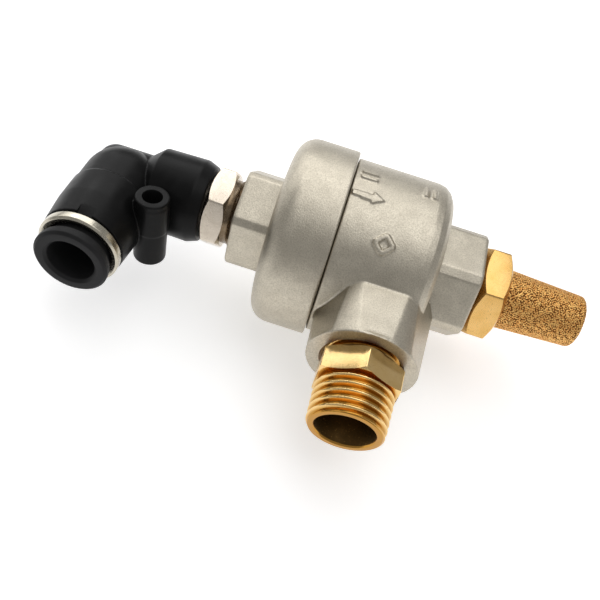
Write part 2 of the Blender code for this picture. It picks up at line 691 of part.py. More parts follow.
def seal_spacer(elbow, material):
    spot = (elbow, ALONG_OUTLET, (0, 0, 0))
    high = SPACER_START + SPACER_LENGTH
    inner = TUBE_HOLE_RADIUS + GAP
    finish(plain_ring("seal_spacer", spot, SPACER_START, high, inner, CARTRIDGE_RADIUS), material)


def grab_ring(elbow, material):
    """The steel ring whose teeth slope inwards and bite the tube."""
    spot = (elbow, ALONG_OUTLET, (0, 0, 0))
    high = GRAB_START + GRAB_RING_LENGTH
    hoop = CARTRIDGE_RADIUS - GRAB_RING_HOOP
    tip = TUBE_HOLE_RADIUS
    body = ring("grab_ring", spot, [
        (CARTRIDGE_RADIUS, high),
        (CARTRIDGE_RADIUS, high - GRAB_RING_THICKNESS),
        (hoop, high - GRAB_RING_THICKNESS),
        (tip, GRAB_START),
        (tip, GRAB_START + GRAB_RING_THICKNESS),
        (hoop, high),
    ], SMALL_STEPS)
    finish(body, material)
    mesh = bpy.data.meshes.new("grab_slots")
    shape = bmesh.new()
    for i in range(GRAB_TEETH // 2):
        turn = Matrix.Rotation(math.pi * (i + 0.5) / (GRAB_TEETH // 2), 4, "Z")
        size = Matrix.Diagonal((2 * hoop, GRAB_SLOT, 2 * GRAB_RING_LENGTH, 1))
        lift = Matrix.Translation((0, 0, GRAB_START + GRAB_RING_LENGTH / 2))
        bmesh.ops.create_cube(shape, size=1, matrix=lift @ turn @ size)
    shape.to_mesh(mesh)
    shape.free()
    cut(body, new_object("grab_slots", mesh, spot))
    body.modifiers["grab_slots"].use_self = True


def guide_ring(elbow, material):
    spot = (elbow, ALONG_OUTLET, (0, 0, 0))
    high = GUIDE_START + GUIDE_RING_LENGTH
    inner = COLLAR_BORE_RADIUS
    finish(plain_ring("guide_ring", spot, GUIDE_START, high, inner, CARTRIDGE_RADIUS), material)


def cartridge_ring(elbow, material):
    """The bright ring: a sleeve pressed in the barrel, with a flange over its end."""
    finish(ring("cartridge_ring", (elbow, ALONG_OUTLET, (0, 0, 0)), [
        (SLEEVE_FLANGE_RADIUS, SLEEVE_END),
        (SLEEVE_FLANGE_RADIUS, SLEEVE_FACE),
        (CARTRIDGE_RADIUS, SLEEVE_FACE),
        (CARTRIDGE_RADIUS, SLEEVE_START),
        (COLLAR_BORE_RADIUS, SLEEVE_START),
        (COLLAR_BORE_RADIUS, SLEEVE_END),
    ]), material)


def release_collar(elbow, material):
    """The collar that is pushed in to free the tube."""
    axis = make_empty("collar_axis", (0, -COLLAR_END, 0), elbow, ALONG_OUTLET)
    flange = COLLAR_FLANGE_START - COLLAR_END
    finish(ring("release_collar", (axis, UPRIGHT, (0, 0, 0)), [
        (COLLAR_FLANGE_RADIUS - COLLAR_EDGE, 0),
        (COLLAR_FLANGE_RADIUS, -COLLAR_EDGE),
        (COLLAR_FLANGE_RADIUS, flange),
        (COLLAR_RADIUS, flange),
        (COLLAR_RADIUS, COLLAR_TIP + COLLAR_TIP_CHAMFER - COLLAR_END),
        (COLLAR_RADIUS - COLLAR_TIP_CHAMFER, COLLAR_TIP - COLLAR_END),
        (TUBE_HOLE_RADIUS, COLLAR_TIP - COLLAR_END),
        (TUBE_HOLE_RADIUS, -COLLAR_LEAD_IN),
        (TUBE_HOLE_RADIUS + COLLAR_LEAD_IN, 0),
    ]), material)


def outlet_nipple(frame, material):
    """The hexagon nipple: one thread in the outlet port, the other left free."""
    branch = (frame, ALONG_OUTLET, (0, 0, 0))
    hex_middle = (NIPPLE_HEX_START + NIPPLE_HEX_END) / 2
    inner_end = OUTLET_PORT_FLOOR + GAP
    nipple = ring("outlet_nipple", branch, [
        (THREAD_RADIUS - NIPPLE_END_CHAMFER, NIPPLE_END),
        (THREAD_RADIUS, NIPPLE_END - NIPPLE_END_CHAMFER),
        (THREAD_RADIUS, hex_middle),
        (PLAIN_THREAD_RADIUS, hex_middle),
        (PLAIN_THREAD_RADIUS, inner_end),
        (NIPPLE_BORE_RADIUS, inner_end),
        (NIPPLE_BORE_RADIUS, NIPPLE_END),
    ])
    hexagon = chamfered_hex(
        "nipple_hex", branch, NIPPLE_HEX_FLATS, NIPPLE_HEX_START, NIPPLE_HEX_END,
        math.pi / 6, NIPPLE_HEX_CHAMFER, NIPPLE_HEX_CHAMFER / 2,
    )
    core = (NIPPLE_BORE_RADIUS + PLAIN_THREAD_RADIUS) / 2
    cut(hexagon, rod("nipple_core", branch, NIPPLE_HEX_START - GAP, NIPPLE_HEX_END + GAP, core))
    join(nipple, hexagon)
    finish(nipple, material)


def silencer_body(frame, material):
    """The hollow hexagon plug that carries the sintered element."""
    main = (frame, ALONG_MAIN, (0, 0, 0))
    inner_end = EXHAUST_PORT_FLOOR + GAP
    hex_middle = (SILENCER_HEX_START + SILENCER_HEX_END) / 2
    body = chamfered_hex(
        "silencer_body", main, SILENCER_HEX_FLATS, SILENCER_HEX_START, SILENCER_HEX_END,
        SILENCER_HEX_CORNER, SILENCER_HEX_CHAMFER, SILENCER_HEX_CHAMFER,
    )
    join(body, rod("silencer_thread", main, inner_end, hex_middle, PLAIN_THREAD_RADIUS))
    seat = SILENCER_HEX_END - ELEMENT_SEATING - GAP
    socket = ELEMENT_BASE_RADIUS + GAP
    cut(body, turned("silencer_bore", main, [
        (0, SILENCER_HEX_END + GAP),
        (socket, SILENCER_HEX_END + GAP),
        (socket, seat),
        (SILENCER_BORE_RADIUS, seat),
        (SILENCER_BORE_RADIUS, inner_end - GAP),
        (0, inner_end - GAP),
    ]))
    finish(body, material)


def silencer_element(frame, material):
    """The hollow sintered cone, closed at its tip."""
    base = SILENCER_HEX_END - ELEMENT_SEATING
    finish(turned("silencer_element", (frame, ALONG_MAIN, (0, 0, 0)), [
        (0, ELEMENT_TIP),
        (ELEMENT_TIP_RADIUS - ELEMENT_EDGE, ELEMENT_TIP),
        (ELEMENT_TIP_RADIUS, ELEMENT_TIP - ELEMENT_EDGE),
        (ELEMENT_BASE_RADIUS, SILENCER_HEX_END),
        (ELEMENT_BASE_RADIUS, base),
        (ELEMENT_BASE_RADIUS - ELEMENT_WALL, base),
        (ELEMENT_TIP_RADIUS - ELEMENT_WALL, ELEMENT_TIP - 2 * ELEMENT_WALL),
        (0, ELEMENT_TIP - 2 * ELEMENT_WALL),
    ]), material)


def build():
    casting = make_material("bead_blasted_nickel", (0.55, 0.52, 0.46), 0.38, 1.0)
    plating = make_material("bright_nickel", (0.78, 0.72, 0.66), 0.2, 1.0)
    brass = make_material("brass", (0.78, 0.53, 0.22), 0.22, 1.0)
    bronze = make_material("sintered_bronze", (0.62, 0.36, 0.13), 0.5, 0.9)
    plastic = make_material("black_plastic", (0.02, 0.02, 0.022), 0.45, 0.0)
    collar = make_material("charcoal_plastic", (0.04, 0.04, 0.043), 0.5, 0.0)
    white = make_material("natural_plastic", (0.75, 0.74, 0.7), 0.45, 0.0)
    rubber = make_material("seal_rubber", (0.015, 0.015, 0.015), 0.6, 0.0)
    polyurethane = make_material("polyurethane", (0.45, 0.4, 0.28), 0.4, 0.0)
    steel = make_material("spring_steel", (0.6, 0.6, 0.62), 0.25, 1.0)

    frame = make_empty("valve_axes", ROW_OFFSET)
    valve_body(frame, casting)
    inlet_cap(frame, casting)
    cap_o_ring(frame, rubber)
    shuttle_cup(frame, polyurethane)
    elbow_stem(frame, plating)
    stem_o_ring(frame, rubber)
    outlet_nipple(frame, brass)
    silencer_body(frame, brass)
    silencer_element(frame, bronze)

    elbow = make_empty("swivel_axis", (ELBOW_CENTRE, 0, 0), frame, (ELBOW_TURN, 0, 0))
    elbow_body(elbow, plastic)
    swivel_retainer(elbow, steel)
    tube_seal(elbow, rubber)
    seal_spacer(elbow, white)
    grab_ring(elbow, steel)
    guide_ring(elbow, white)
    cartridge_ring(elbow, plating)
    release_collar(elbow, collar)


clear_scene()
PARTS = make_collection("quick_exhaust_valve")
HELPERS = make_collection("cutters")
build()
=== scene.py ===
"""Looks of the quick exhaust valve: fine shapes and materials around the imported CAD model.

Each shown piece is turned about an axis: the valve's main axis, the outlet's, one of the
elbow's two legs or its mounting tube's. Along an axis a piece has heights: on the valve and its
outlet from where those two axes cross, on the elbow's legs from where the legs cross, and on
the mounting tube from its middle.
"""

import json
import math

import bmesh
import bpy
import numpy as np
from mathutils import Matrix, Vector
from mathutils.kdtree import KDTree


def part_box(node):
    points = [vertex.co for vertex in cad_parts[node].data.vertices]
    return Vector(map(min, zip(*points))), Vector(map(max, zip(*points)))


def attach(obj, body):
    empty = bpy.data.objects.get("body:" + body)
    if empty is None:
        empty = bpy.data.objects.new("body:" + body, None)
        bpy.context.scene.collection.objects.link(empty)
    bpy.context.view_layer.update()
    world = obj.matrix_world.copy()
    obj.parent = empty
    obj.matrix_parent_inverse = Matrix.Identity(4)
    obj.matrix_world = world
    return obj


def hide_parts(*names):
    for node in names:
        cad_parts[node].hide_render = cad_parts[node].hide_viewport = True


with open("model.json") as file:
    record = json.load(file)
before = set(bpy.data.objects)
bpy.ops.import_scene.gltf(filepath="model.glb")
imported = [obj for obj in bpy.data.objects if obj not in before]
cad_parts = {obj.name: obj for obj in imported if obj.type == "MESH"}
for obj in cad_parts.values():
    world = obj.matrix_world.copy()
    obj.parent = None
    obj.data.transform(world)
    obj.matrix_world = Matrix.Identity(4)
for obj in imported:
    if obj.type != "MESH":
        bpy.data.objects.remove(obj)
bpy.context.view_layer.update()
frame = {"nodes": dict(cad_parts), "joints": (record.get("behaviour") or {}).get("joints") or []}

# Metres. GAP is the room left round a piece inside another, and how far a cutter stands out.
MM = 0.001
GAP = 0.3 * MM
MERGE_DISTANCE = 1e-8
PICK_MARGIN = 0.05 * MM
X, Y, Z = Vector((1, 0, 0)), Vector((0, 1, 0)), Vector((0, 0, 1))

# Fineness of the meshes. A round takes at most ROUND_SHARE of the shorter side beside it.
COLUMNS = 192
FINE_COLUMNS = 288
BOSS_ROWS = 40
POCKET_COLUMNS = 12
MARK_CUTS = 5
ROUND_POINTS = 5
BIG_ROUND_POINTS = 9
DOME_POINTS = 25
ROUND_SHARE = 0.49
EDGE_ROUND = 0.2 * MM
LINE_ROUND = 0.06 * MM
CAST_VOXEL = 0.17 * MM
PLASTIC_VOXEL = 0.155 * MM
SKIN_TRIANGLES = 150000
SKIN_SOFTENING = 3
CAP_SOFTENING = 4

# Casting. A hexagon's corner is the angle that one of its corners points at, from the top.
BOSS_ROOT = 3 * MM
SEAM = 0.14 * MM
SEAM_DEPTH = 0.7 * MM
SEAM_FLOOR_GAP = 0.05 * MM
SPIGOT_RADIUS = 13.7 * MM
CHAMBER_RADIUS = 12.2 * MM
CHAMBER_END_WALL = 2.6 * MM
NOZZLE_BORE = 4.3 * MM
NOZZLE_RADIUS = 5.9 * MM
NOZZLE_SEAT = -10.8 * MM
PORT_FLOOR_WALL = 2.3 * MM
OUTLET_BORE = 4.8 * MM
BODY_END = 7.6 * MM
BODY_SHOULDER = 3.2 * MM
CAP_SHOULDER = 3.6 * MM
CAP_RIM_ROUND = 0.3 * MM
CAP_END_WALL = 2.7 * MM
CAP_LAND = 0.6 * MM
CAP_SEAL_GAP = 0.25 * MM
INLET_BORE = 4.0 * MM
INLET_SEAT_WALL = 1.6 * MM
CAST_ROUND = 0.45 * MM
EXHAUST_FLATS = 18.2 * MM
EXHAUST_CORNER = math.radians(31)
INLET_FLATS = 16.8 * MM
INLET_CORNER = math.radians(49)
BOSS_TRIM = 0.9 * MM
OUTLET_BOSS_RADIUS = 9.4 * MM
OUTLET_BOSS_DRAFT = 0.045
OUTLET_FLAT_DEPTH = 0.36 * MM
OUTLET_LIP = 0.9 * MM
SHARP_EDGE = 0.01 * MM

# Raised marks. Their outlines are in plain millimetres, each about its own middle or, for the
# arrow, its point. A spot is a height along the barrel in millimetres and degrees round it.
MARK_HEIGHT = 0.42 * MM
ARROW_LENGTH, ARROW_SHAFT = 5.4, 0.9
ARROW_HEAD_LENGTH, ARROW_HEAD_WIDTH = 1.9, 2.3
ARROW_SPOT = (-4.55, 6.9)
BAR = (2.8, 0.64)
BAR_SHIFT = 0.75
BAR_SHIFT_DEGREES = 3.5
CAP_BARS_SPOT = (-7.9, -10.0)
EXHAUST_BARS_SPOT = (2.7, -12.5)
DIAMOND_SIDE = (2.3, 0.76)
DIAMOND_REACH = 1.1
DIAMOND_SPOT = (-2.65, 32.5)

# Threads, quarter inch: 19 turns to the inch, and a 1 in 16 taper on the free one
PITCH = 1.337 * MM
THREAD_RADIUS = 6.58 * MM
THREAD_DEPTH = 0.78 * MM
THREAD_TAPER = 1 / 32
THREAD_ROOT = THREAD_RADIUS - THREAD_DEPTH
THREAD_RELIEF = THREAD_ROOT - 0.2 * MM
SCREWED_RADIUS = THREAD_RADIUS - GAP / 3
THREAD_ROWS = 16
THREAD_CREST = 0.12
THREAD_SLOPE = 0.7
THREAD_SOFTNESS = 0.4
THREAD_RUN_OUT = PITCH * 0.6
PORT_CHAMFER = 0.55 * MM
PORT_MOUTH = THREAD_RADIUS + PORT_CHAMFER

# Nipple, stem and silencer. A turn is how far inside a hexagon's flats its turned face ends,
# and where it is below zero, how far outside.
HEX_BEVEL = math.radians(31)
HEX_CORNER_ROUND = 0.2 * MM
NIPPLE_STANDOFF = 0.8 * MM
NIPPLE_HEX_LENGTH = 4.1 * MM
NIPPLE_FLATS = 13.2 * MM
NIPPLE_CORNER_ROUND = 0.08 * MM
NIPPLE_EDGE = 0.06 * MM
NIPPLE_LOW_TURN = -0.72 * MM
NIPPLE_HIGH_TURN = -0.5 * MM
NIPPLE_RUN_OUT = PITCH * 0.35
NIPPLE_BORE = 4.82 * MM
NIPPLE_BORE_CHAMFER = 0.25 * MM
STEM_NECK_LENGTH = 1.8 * MM
STEM_NECK_RADIUS = 5.9 * MM
STEM_HEX_LENGTH = 4.0 * MM
STEM_FLATS = 13.4 * MM
STEM_CORNER = math.radians(35.5)
STEM_LOW_TURN = 0.35 * MM
STEM_EDGE = 0.12 * MM
STEM_THREAD_END = STEM_NECK_LENGTH * 0.45
STEM_THREAD_RUN_OUT = STEM_NECK_LENGTH * 0.6
STEM_BORE = 3.0 * MM
JOURNAL_RADIUS = 4.6 * MM
JOURNAL_GROOVE = 3.7 * MM
JOURNAL_CHAMFER = 0.3 * MM
SEAL_GROOVE_START = 1.5 * MM
SEAL_GROOVE_WIDTH = 1.5 * MM
SILENCER_STANDOFF = 0.3 * MM
SILENCER_FLATS = 15.6 * MM
SILENCER_CORNER = math.radians(41)
SILENCER_TURN = 0.55 * MM
SILENCER_EDGE = 0.14 * MM
SILENCER_BORE = 4.4 * MM
ELEMENT_SEATING = 2.4 * MM
ELEMENT_WALL = 1.7 * MM
ELEMENT_BASE = 5.5 * MM
ELEMENT_TIP_RADIUS = 4.8 * MM
ELEMENT_TIP_ROUND = 0.6 * MM
GRAIN_SPACING = 0.36 * MM
GRAIN_CLOSEST = GRAIN_SPACING * 0.78
GRAIN_STEP = GRAIN_SPACING / 4
GRAIN_RADIUS = GRAIN_SPACING * 0.62
GRAIN_SIDE_ROOM = GRAIN_RADIUS * 0.55
GRAIN_TIP_ROOM = GRAIN_RADIUS * 0.65
GRAIN_BURIED = 0.45
GRAIN_SIZES = (0.82, 1.12)
GRAIN_SEED = 7

# Elbow
INLET_LEG_RADIUS = 7.7 * MM
INLET_LEG_LENGTH = 9.65 * MM
INLET_LEG_CHAMFER = 2.0 * MM
INLET_LEG_INSET = 0.75 * MM
INLET_LEG_TAPER = 0.2 * MM
INLET_LEG_SHOULDER = 2.3 * MM
NECK_RADIUS = 5.5 * MM
SOCKET_RADIUS = 6.4 * MM
BARREL_RADIUS = 7.4 * MM
BARREL_TAPER = 0.42 * MM
CORNER_DOME_OUT = 2.7 * MM
CORNER_LENGTH = 7.7 * MM
CORNER_INSET = 0.2 * MM
TUBE_STOP = 7.0 * MM
POCKET_START, POCKET_END = math.radians(-15), math.radians(6)
POCKET_LENGTH = 2.3 * MM
POCKET_OVERCUT = 1 * MM
POCKET_FOOT_DEPTH = 0.12 * MM
POCKET_RIM_DEPTH = 0.85 * MM
MOUNT_RADIUS = 2.97 * MM
MOUNT_TOP_INSET = 0.06 * MM
MOUNT_TOP_BAND = 1.1 * MM
MOUNT_LOW_INSET = 0.09 * MM
MOUNT_STEP = 0.1 * MM
MOUNT_STEP_ROUND = 0.05 * MM
MOUNT_LENGTH = 13.8 * MM
MOUNT_HOLE = 1.65 * MM
MOUNT_ALONG = 8.5 * MM
MOUNT_OUT = 9.9 * MM
TUBE_HOLE = 4.05 * MM
COLLAR_SLEEVE = 5.2 * MM
COLLAR_TIP_CHAMFER = 0.35 * MM
COLLAR_LEAD_IN = 0.5 * MM
COLLAR_RADIUS = 6.28 * MM
COLLAR_FLANGE = 1.95 * MM
COLLAR_RIM = 1.15 * MM
COLLAR_RIM_END = 1.3 * MM
COLLAR_STEP = 0.22 * MM
RING_FLANGE = 1.6 * MM
RING_RADIUS = 6.9 * MM
RING_SLEEVE = 6.1 * MM

# Colours, most as the two ends of a surface's own variation
CAST_NICKEL = ((0.52, 0.475, 0.39), (0.62, 0.57, 0.47))
CAST_SPECK = (0.36, 0.325, 0.26)
STEM_NICKEL = ((0.64, 0.56, 0.46), (0.72, 0.64, 0.54))
# Painted shade: the stem's thread sunk in the cap's mouth, nickel darkened to a dark brown
STEM_THREAD_SHADE = ((0.16, 0.12, 0.08), (0.30, 0.24, 0.17))
RING_NICKEL = ((0.50, 0.465, 0.38), (0.60, 0.56, 0.47))
NICKEL_PIT = (0.42, 0.34, 0.27)
HEX_BRASS = ((0.70, 0.42, 0.13), (0.78, 0.49, 0.18))
NIPPLE_BRASS = ((0.84, 0.57, 0.23), (0.90, 0.64, 0.30))
# Painted shade: the nipple's bore, brass darkened nearly to black
BORE_SHADE = ((0.07, 0.04, 0.013), (0.12, 0.065, 0.02))
# Painted shade: the nipple thread's valleys, brass darkened
BRASS_VALLEY_SHADE = (0.50, 0.25, 0.045)
BRASS_PIT = (0.45, 0.26, 0.07)
BRONZE_GRAINS = ((0.84, 0.40, 0.11), (0.98, 0.60, 0.20))
# Painted shade in the pits between the sintered grains
BRONZE_PIT_SHADE = (0.26, 0.11, 0.03)
BLACK = ((0.004, 0.004, 0.004), (0.007, 0.007, 0.007))
CHARCOAL = ((0.016, 0.016, 0.016), (0.022, 0.022, 0.023))
RUBBER = ((0.011, 0.011, 0.011), (0.02, 0.02, 0.021))
NATURAL = ((0.70, 0.68, 0.62), (0.78, 0.77, 0.72))
AMBER = ((0.42, 0.35, 0.21), (0.5, 0.44, 0.3))
STEEL = ((0.52, 0.52, 0.53), (0.66, 0.66, 0.68))
PALE_FLOOR = (0.93, 0.93, 0.935, 1)
WHITE = (1, 1, 1, 1)
NOISE_LOW, NOISE_HIGH = 0.3, 0.7
PLASTIC_SPECULAR = 0.12

# Camera and light, degrees and metres. A lamp has a place, a size and a power.
CAMERA_AZIMUTH = 1.182
CAMERA_ELEVATION = 54.117
CAMERA_ROLL = 16.894
CAMERA_DISTANCE = 0.11712
CAMERA_LENS = 41.206
CAMERA_TARGET = Vector((-12.756, -14.2, 0)) * MM
LAMPS = {
    "back": ((-0.12, 0.37, 0.37), (0.42, 0.30), 0.72),
    "top": ((0.08, 0.06, 0.46), (0.44, 0.36), 0.72),
    "side": ((-0.46, 0.37, 0.29), (0.46, 0.34), 0.60),
}
FLOOR_SIZE = 3
FLOOR_DROP = 0.02 * MM
ROOM_LIGHT = 0.36
FLOOR_GLOW = 0.46


def span(node, origin, along):
    """The lowest and highest height of a CAD node's points along an axis."""
    heights = [(v.co - origin).dot(along) for v in frame["nodes"][node].data.vertices]
    return min(heights), max(heights)


def joint(name):
    """A joint's row in the frame."""
    return next(found for found in frame["joints"] if found["name"] == name)


def axes(origin, along, up):
    """A place whose Z runs along an axis and whose X is up. Its angles run from X towards Y."""
    side = along.cross(up)
    turn = Matrix((up, side, along)).transposed()
    return Matrix.Translation(origin) @ turn.to_4x4()


# Places and stations, from the frame
SWIVEL = Vector(joint("elbow_swivel")["pos_m"])
LEG = -Vector(joint("collar_push")["axis"])
ELBOW_UP = LEG.cross(X)
nipple_low, nipple_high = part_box("outlet_nipple")
CROSSING = Vector(((nipple_low.x + nipple_high.x) / 2, SWIVEL.y, SWIVEL.z))
MAIN = axes(CROSSING, X, Z)
OUTLET = axes(CROSSING, -Y, Z)
INLET_LEG = axes(SWIVEL, X, ELBOW_UP)
TUBE_LEG = axes(SWIVEL, LEG, ELBOW_UP)
MOUNT = axes(SWIVEL + X * MOUNT_ALONG + LEG * MOUNT_OUT, ELBOW_UP, X)

SPIGOT_END, EXHAUST_FACE = span("valve_body", CROSSING, X)
BODY_RADIUS = span("valve_body", CROSSING, Z)[1]
OUTLET_FACE = span("valve_body", CROSSING, -Y)[1]
INLET_FACE, CAP_RIM = span("inlet_cap", CROSSING, X)
CAP_RADIUS = span("inlet_cap", CROSSING, Z)[1]
CAP_FACE = span("cap_o_ring", CROSSING, X)[0] - CAP_SEAL_GAP - CAP_END_WALL
BODY_START = CAP_RIM + SEAM
JOURNAL_END, STEM_TIP = span("elbow_stem", CROSSING, X)
STEM_HEX_TOP = INLET_FACE - STEM_NECK_LENGTH
STEM_HEX_BASE = STEM_HEX_TOP - STEM_HEX_LENGTH
NIPPLE_INNER, NIPPLE_TIP = span("outlet_nipple", CROSSING, -Y)
NIPPLE_HEX_BASE = OUTLET_FACE + NIPPLE_STANDOFF
NIPPLE_HEX_TOP = NIPPLE_HEX_BASE + NIPPLE_HEX_LENGTH
SILENCER_INNER, SILENCER_TOP = span("silencer_body", CROSSING, X)
SILENCER_HEX_BASE = EXHAUST_FACE + SILENCER_STANDOFF
ELEMENT_TIP = span("silencer_element", CROSSING, X)[1]
INLET_LEG_TOP = span("elbow_body", SWIVEL, X)[1]
BARREL_TOP = span("elbow_body", SWIVEL, LEG)[1]
RING_BASE, RING_TOP = span("cartridge_ring", SWIVEL, LEG)
COLLAR_TIP, COLLAR_FACE = span("release_collar", SWIVEL, LEG)


def arc_points(centre, radius, start, sweep, count):
    """Points along an arc, from its start angle through its sweep."""
    angles = [start + sweep * i / (count - 1) for i in range(count)]
    return [(centre.x + radius * math.cos(a), centre.y + radius * math.sin(a)) for a in angles]


def rounded(corners, closed=True, count=ROUND_POINTS):
    """The points of an outline of (radius, height, round) corners, each round drawn as an arc."""
    points = []
    last = len(corners) - 1
    for i, corner in enumerate(corners):
        here = Vector(corner[:2])
        size = corner[2] if len(corner) > 2 else 0
        if not size or (not closed and i in (0, last)):
            points.append(tuple(here))
            continue
        before = Vector(corners[i - 1][:2]) - here
        after = Vector(corners[(i + 1) % (last + 1)][:2]) - here
        half = before.angle(after) / 2
        room = ROUND_SHARE * min(before.length, after.length)
        reach = min(size / math.tan(half), room)
        size = reach * math.tan(half)
        centre = here + (before.normalized() + after.normalized()).normalized() * (
            size / math.sin(half)
        )
        first = here + before.normalized() * reach - centre
        second = here + after.normalized() * reach - centre
        start = math.atan2(first.y, first.x)
        sweep = (math.atan2(second.y, second.x) - start + math.pi) % math.tau - math.pi
        points.extend(arc_points(centre, size, start, sweep, count))
    return points


def refined(points, step):
    """The same outline with its long stretches divided, none longer than step."""
    result = [points[0]]
    for low, high in zip(points, points[1:]):
        pieces = max(1, math.ceil(math.dist(low, high) / step))
        for i in range(1, pieces + 1):
            share = i / pieces
            result.append(tuple(a + (b - a) * share for a, b in zip(low, high)))
    return result


def turned(name, place, section, closed=True, columns=COLUMNS, start=0.0):
    """A piece turned about its place's Z. section is an outline that runs down the outside and
    up the bore, or a function that gives the outline at an angle."""
    rows = []
    for i in range(columns):
        angle = start + math.tau * i / columns
        outline = section(angle) if callable(section) else section
        turn = np.array((math.cos(angle), math.sin(angle)))
        rows.extend((*(turn * radius), height) for radius, height in outline)
    size = len(rows) // columns
    faces = []
    for i in range(columns):
        here, after = i * size, (i + 1) % columns * size
        for j in range(size if closed else size - 1):
            k = (j + 1) % size
            faces.append((here + j, here + k, after + k, after + j))
    mesh = bpy.data.meshes.new(name)
    mesh.from_pydata(rows, [], faces)
    shape = bmesh.new()
    shape.from_mesh(mesh)
    bmesh.ops.remove_doubles(shape, verts=shape.verts, dist=MERGE_DISTANCE)
    bmesh.ops.transform(shape, matrix=place, verts=shape.verts)
    shape.to_mesh(mesh)
    shape.free()
    obj = bpy.data.objects.new(name, mesh)
    bpy.context.scene.collection.objects.link(obj)
    return obj


def applied(obj):
    """The object with its modifiers applied."""
    graph = bpy.context.evaluated_depsgraph_get()
    mesh = bpy.data.meshes.new_from_object(obj.evaluated_get(graph))
    obj.modifiers.clear()
    obj.data = mesh
    return obj


def combine(obj, operation, *others):
    """Joins or cuts an object by others, which are removed."""
    for other in others:
        boolean = obj.modifiers.new(operation, "BOOLEAN")
        boolean.operation = operation
        boolean.object = other
        boolean.solver = "MANIFOLD"
        applied(obj)
        bpy.data.objects.remove(other)


def moulded(name, solids, voxel, passes):
    """Solids run together into one skin, with the soft inner and outer edges of a casting."""
    shape = bmesh.new()
    for solid in solids:
        shape.from_mesh(solid.data)
        bpy.data.objects.remove(solid)
    mesh = bpy.data.meshes.new(name)
    shape.to_mesh(mesh)
    shape.free()
    obj = bpy.data.objects.new(name, mesh)
    bpy.context.scene.collection.objects.link(obj)
    remesh = obj.modifiers.new("skin", "REMESH")
    remesh.mode = "VOXEL"
    remesh.voxel_size = voxel
    smooth = obj.modifiers.new("soften", "SMOOTH")
    smooth.factor = 0.5
    smooth.iterations = passes
    applied(obj)
    thin = obj.modifiers.new("thin", "DECIMATE")
    thin.ratio = min(1, SKIN_TRIANGLES / (2 * len(obj.data.polygons)))
    return applied(obj)


def finish(obj, node, body, slot, *materials, sharp=40):
    """Shades a piece and makes it stand for its CAD node. Edges that turn by more than sharp, in
    degrees, stay sharp."""
    obj.data.materials.clear()
    for material in materials:
        obj.data.materials.append(material)
    obj.data.shade_smooth()
    obj.data.set_sharp_from_angle(angle=math.radians(sharp))
    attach(obj, body)
    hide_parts(node)


def hexagon(angle, flats, corner, edge):
    """Distance from the middle to a hexagon's side, its corners rounded by edge."""
    sector = math.pi / 3
    off = abs((angle - corner + sector / 2) % sector - sector / 2)
    centre = (flats / 2 - edge) / math.cos(sector / 2)
    tangent = sector / 2 - math.atan(centre * math.sin(sector / 2) / (flats / 2))
    if off > tangent:
        return flats / 2 / math.cos(sector / 2 - off)
    return centre * math.cos(off) + math.sqrt(edge**2 - (centre * math.sin(off)) ** 2)


def boss(angle, flats, corner):
    """Distance from the middle to a cast hexagon's side, its corners trimmed flat."""
    trim = hexagon(angle, flats + 2 * BOSS_TRIM, corner + math.pi / 6, CAST_ROUND)
    return min(hexagon(angle, flats, corner, CAST_ROUND), trim)


def thread_cut(turns):
    """How deep a thread's groove is at this point of its pitch, from 0 at a crest to 1."""
    slope = abs(2 * (turns % 1) - 1)
    share = min(max((slope - THREAD_CREST) / THREAD_SLOPE, 0), 1)
    curve = share * share * (3 - 2 * share)
    return curve * THREAD_SOFTNESS + share * (1 - THREAD_SOFTNESS)


def threaded(points, angle, low, high, taper=0.0, lead=THREAD_RUN_OUT):
    """Cuts a helical groove in the stretch of an outline between two heights. The crest falls by
    the taper towards high, and both ends of the thread run out over the lead."""
    result = []
    for radius, height in points:
        if low < height < high and radius > THREAD_ROOT:
            room = min(height - low, high - height) / lead
            turns = height / PITCH - angle / math.tau
            radius -= THREAD_DEPTH * thread_cut(turns) * min(max(room * 2, 0), 1)
            radius -= max(height - low, 0) * taper
            radius = min(radius, THREAD_RADIUS - THREAD_DEPTH * max(1 - room, 0))
        result.append((radius, height))
    return result


def thread_rows(radius, first, second):
    """The points of a straight side between two heights, fine enough to cut a thread in."""
    return refined([(radius, first), (radius, second)], PITCH / THREAD_ROWS)[1:-1]


def oblong(length, width):
    """A rectangle's corners about its own middle."""
    x, y = length / 2, width / 2
    return [(-x, -y), (x, -y), (x, y), (-x, y)]


def cast_marks():
    """Raised marks on the barrel: the flow arrow, and plain shapes in place of lettering."""
    shaft, head = ARROW_SHAFT / 2, ARROW_HEAD_WIDTH / 2
    arrow = [
        (-ARROW_LENGTH, -shaft), (-ARROW_HEAD_LENGTH, -shaft), (-ARROW_HEAD_LENGTH, -head), (0, 0),
        (-ARROW_HEAD_LENGTH, head), (-ARROW_HEAD_LENGTH, shaft), (-ARROW_LENGTH, shaft),
    ]
    solids = [raised_mark(arrow, *ARROW_SPOT, 0)]
    for shift in (-BAR_SHIFT, BAR_SHIFT):
        along, around = CAP_BARS_SPOT
        solids.append(raised_mark(oblong(*BAR), along, around + BAR_SHIFT_DEGREES * shift, 0))
        along, around = EXHAUST_BARS_SPOT
        solids.append(raised_mark(oblong(*BAR), along + shift, around, 90))
    for turn in (45, 135, 225, 315):
        out = math.radians(turn)
        along, around = DIAMOND_SPOT
        along += DIAMOND_REACH * math.cos(out)
        around += DIAMOND_REACH * math.degrees(math.sin(out) * MM / BODY_RADIUS)
        solids.append(raised_mark(oblong(*DIAMOND_SIDE), along, around, turn + 90))
    return solids


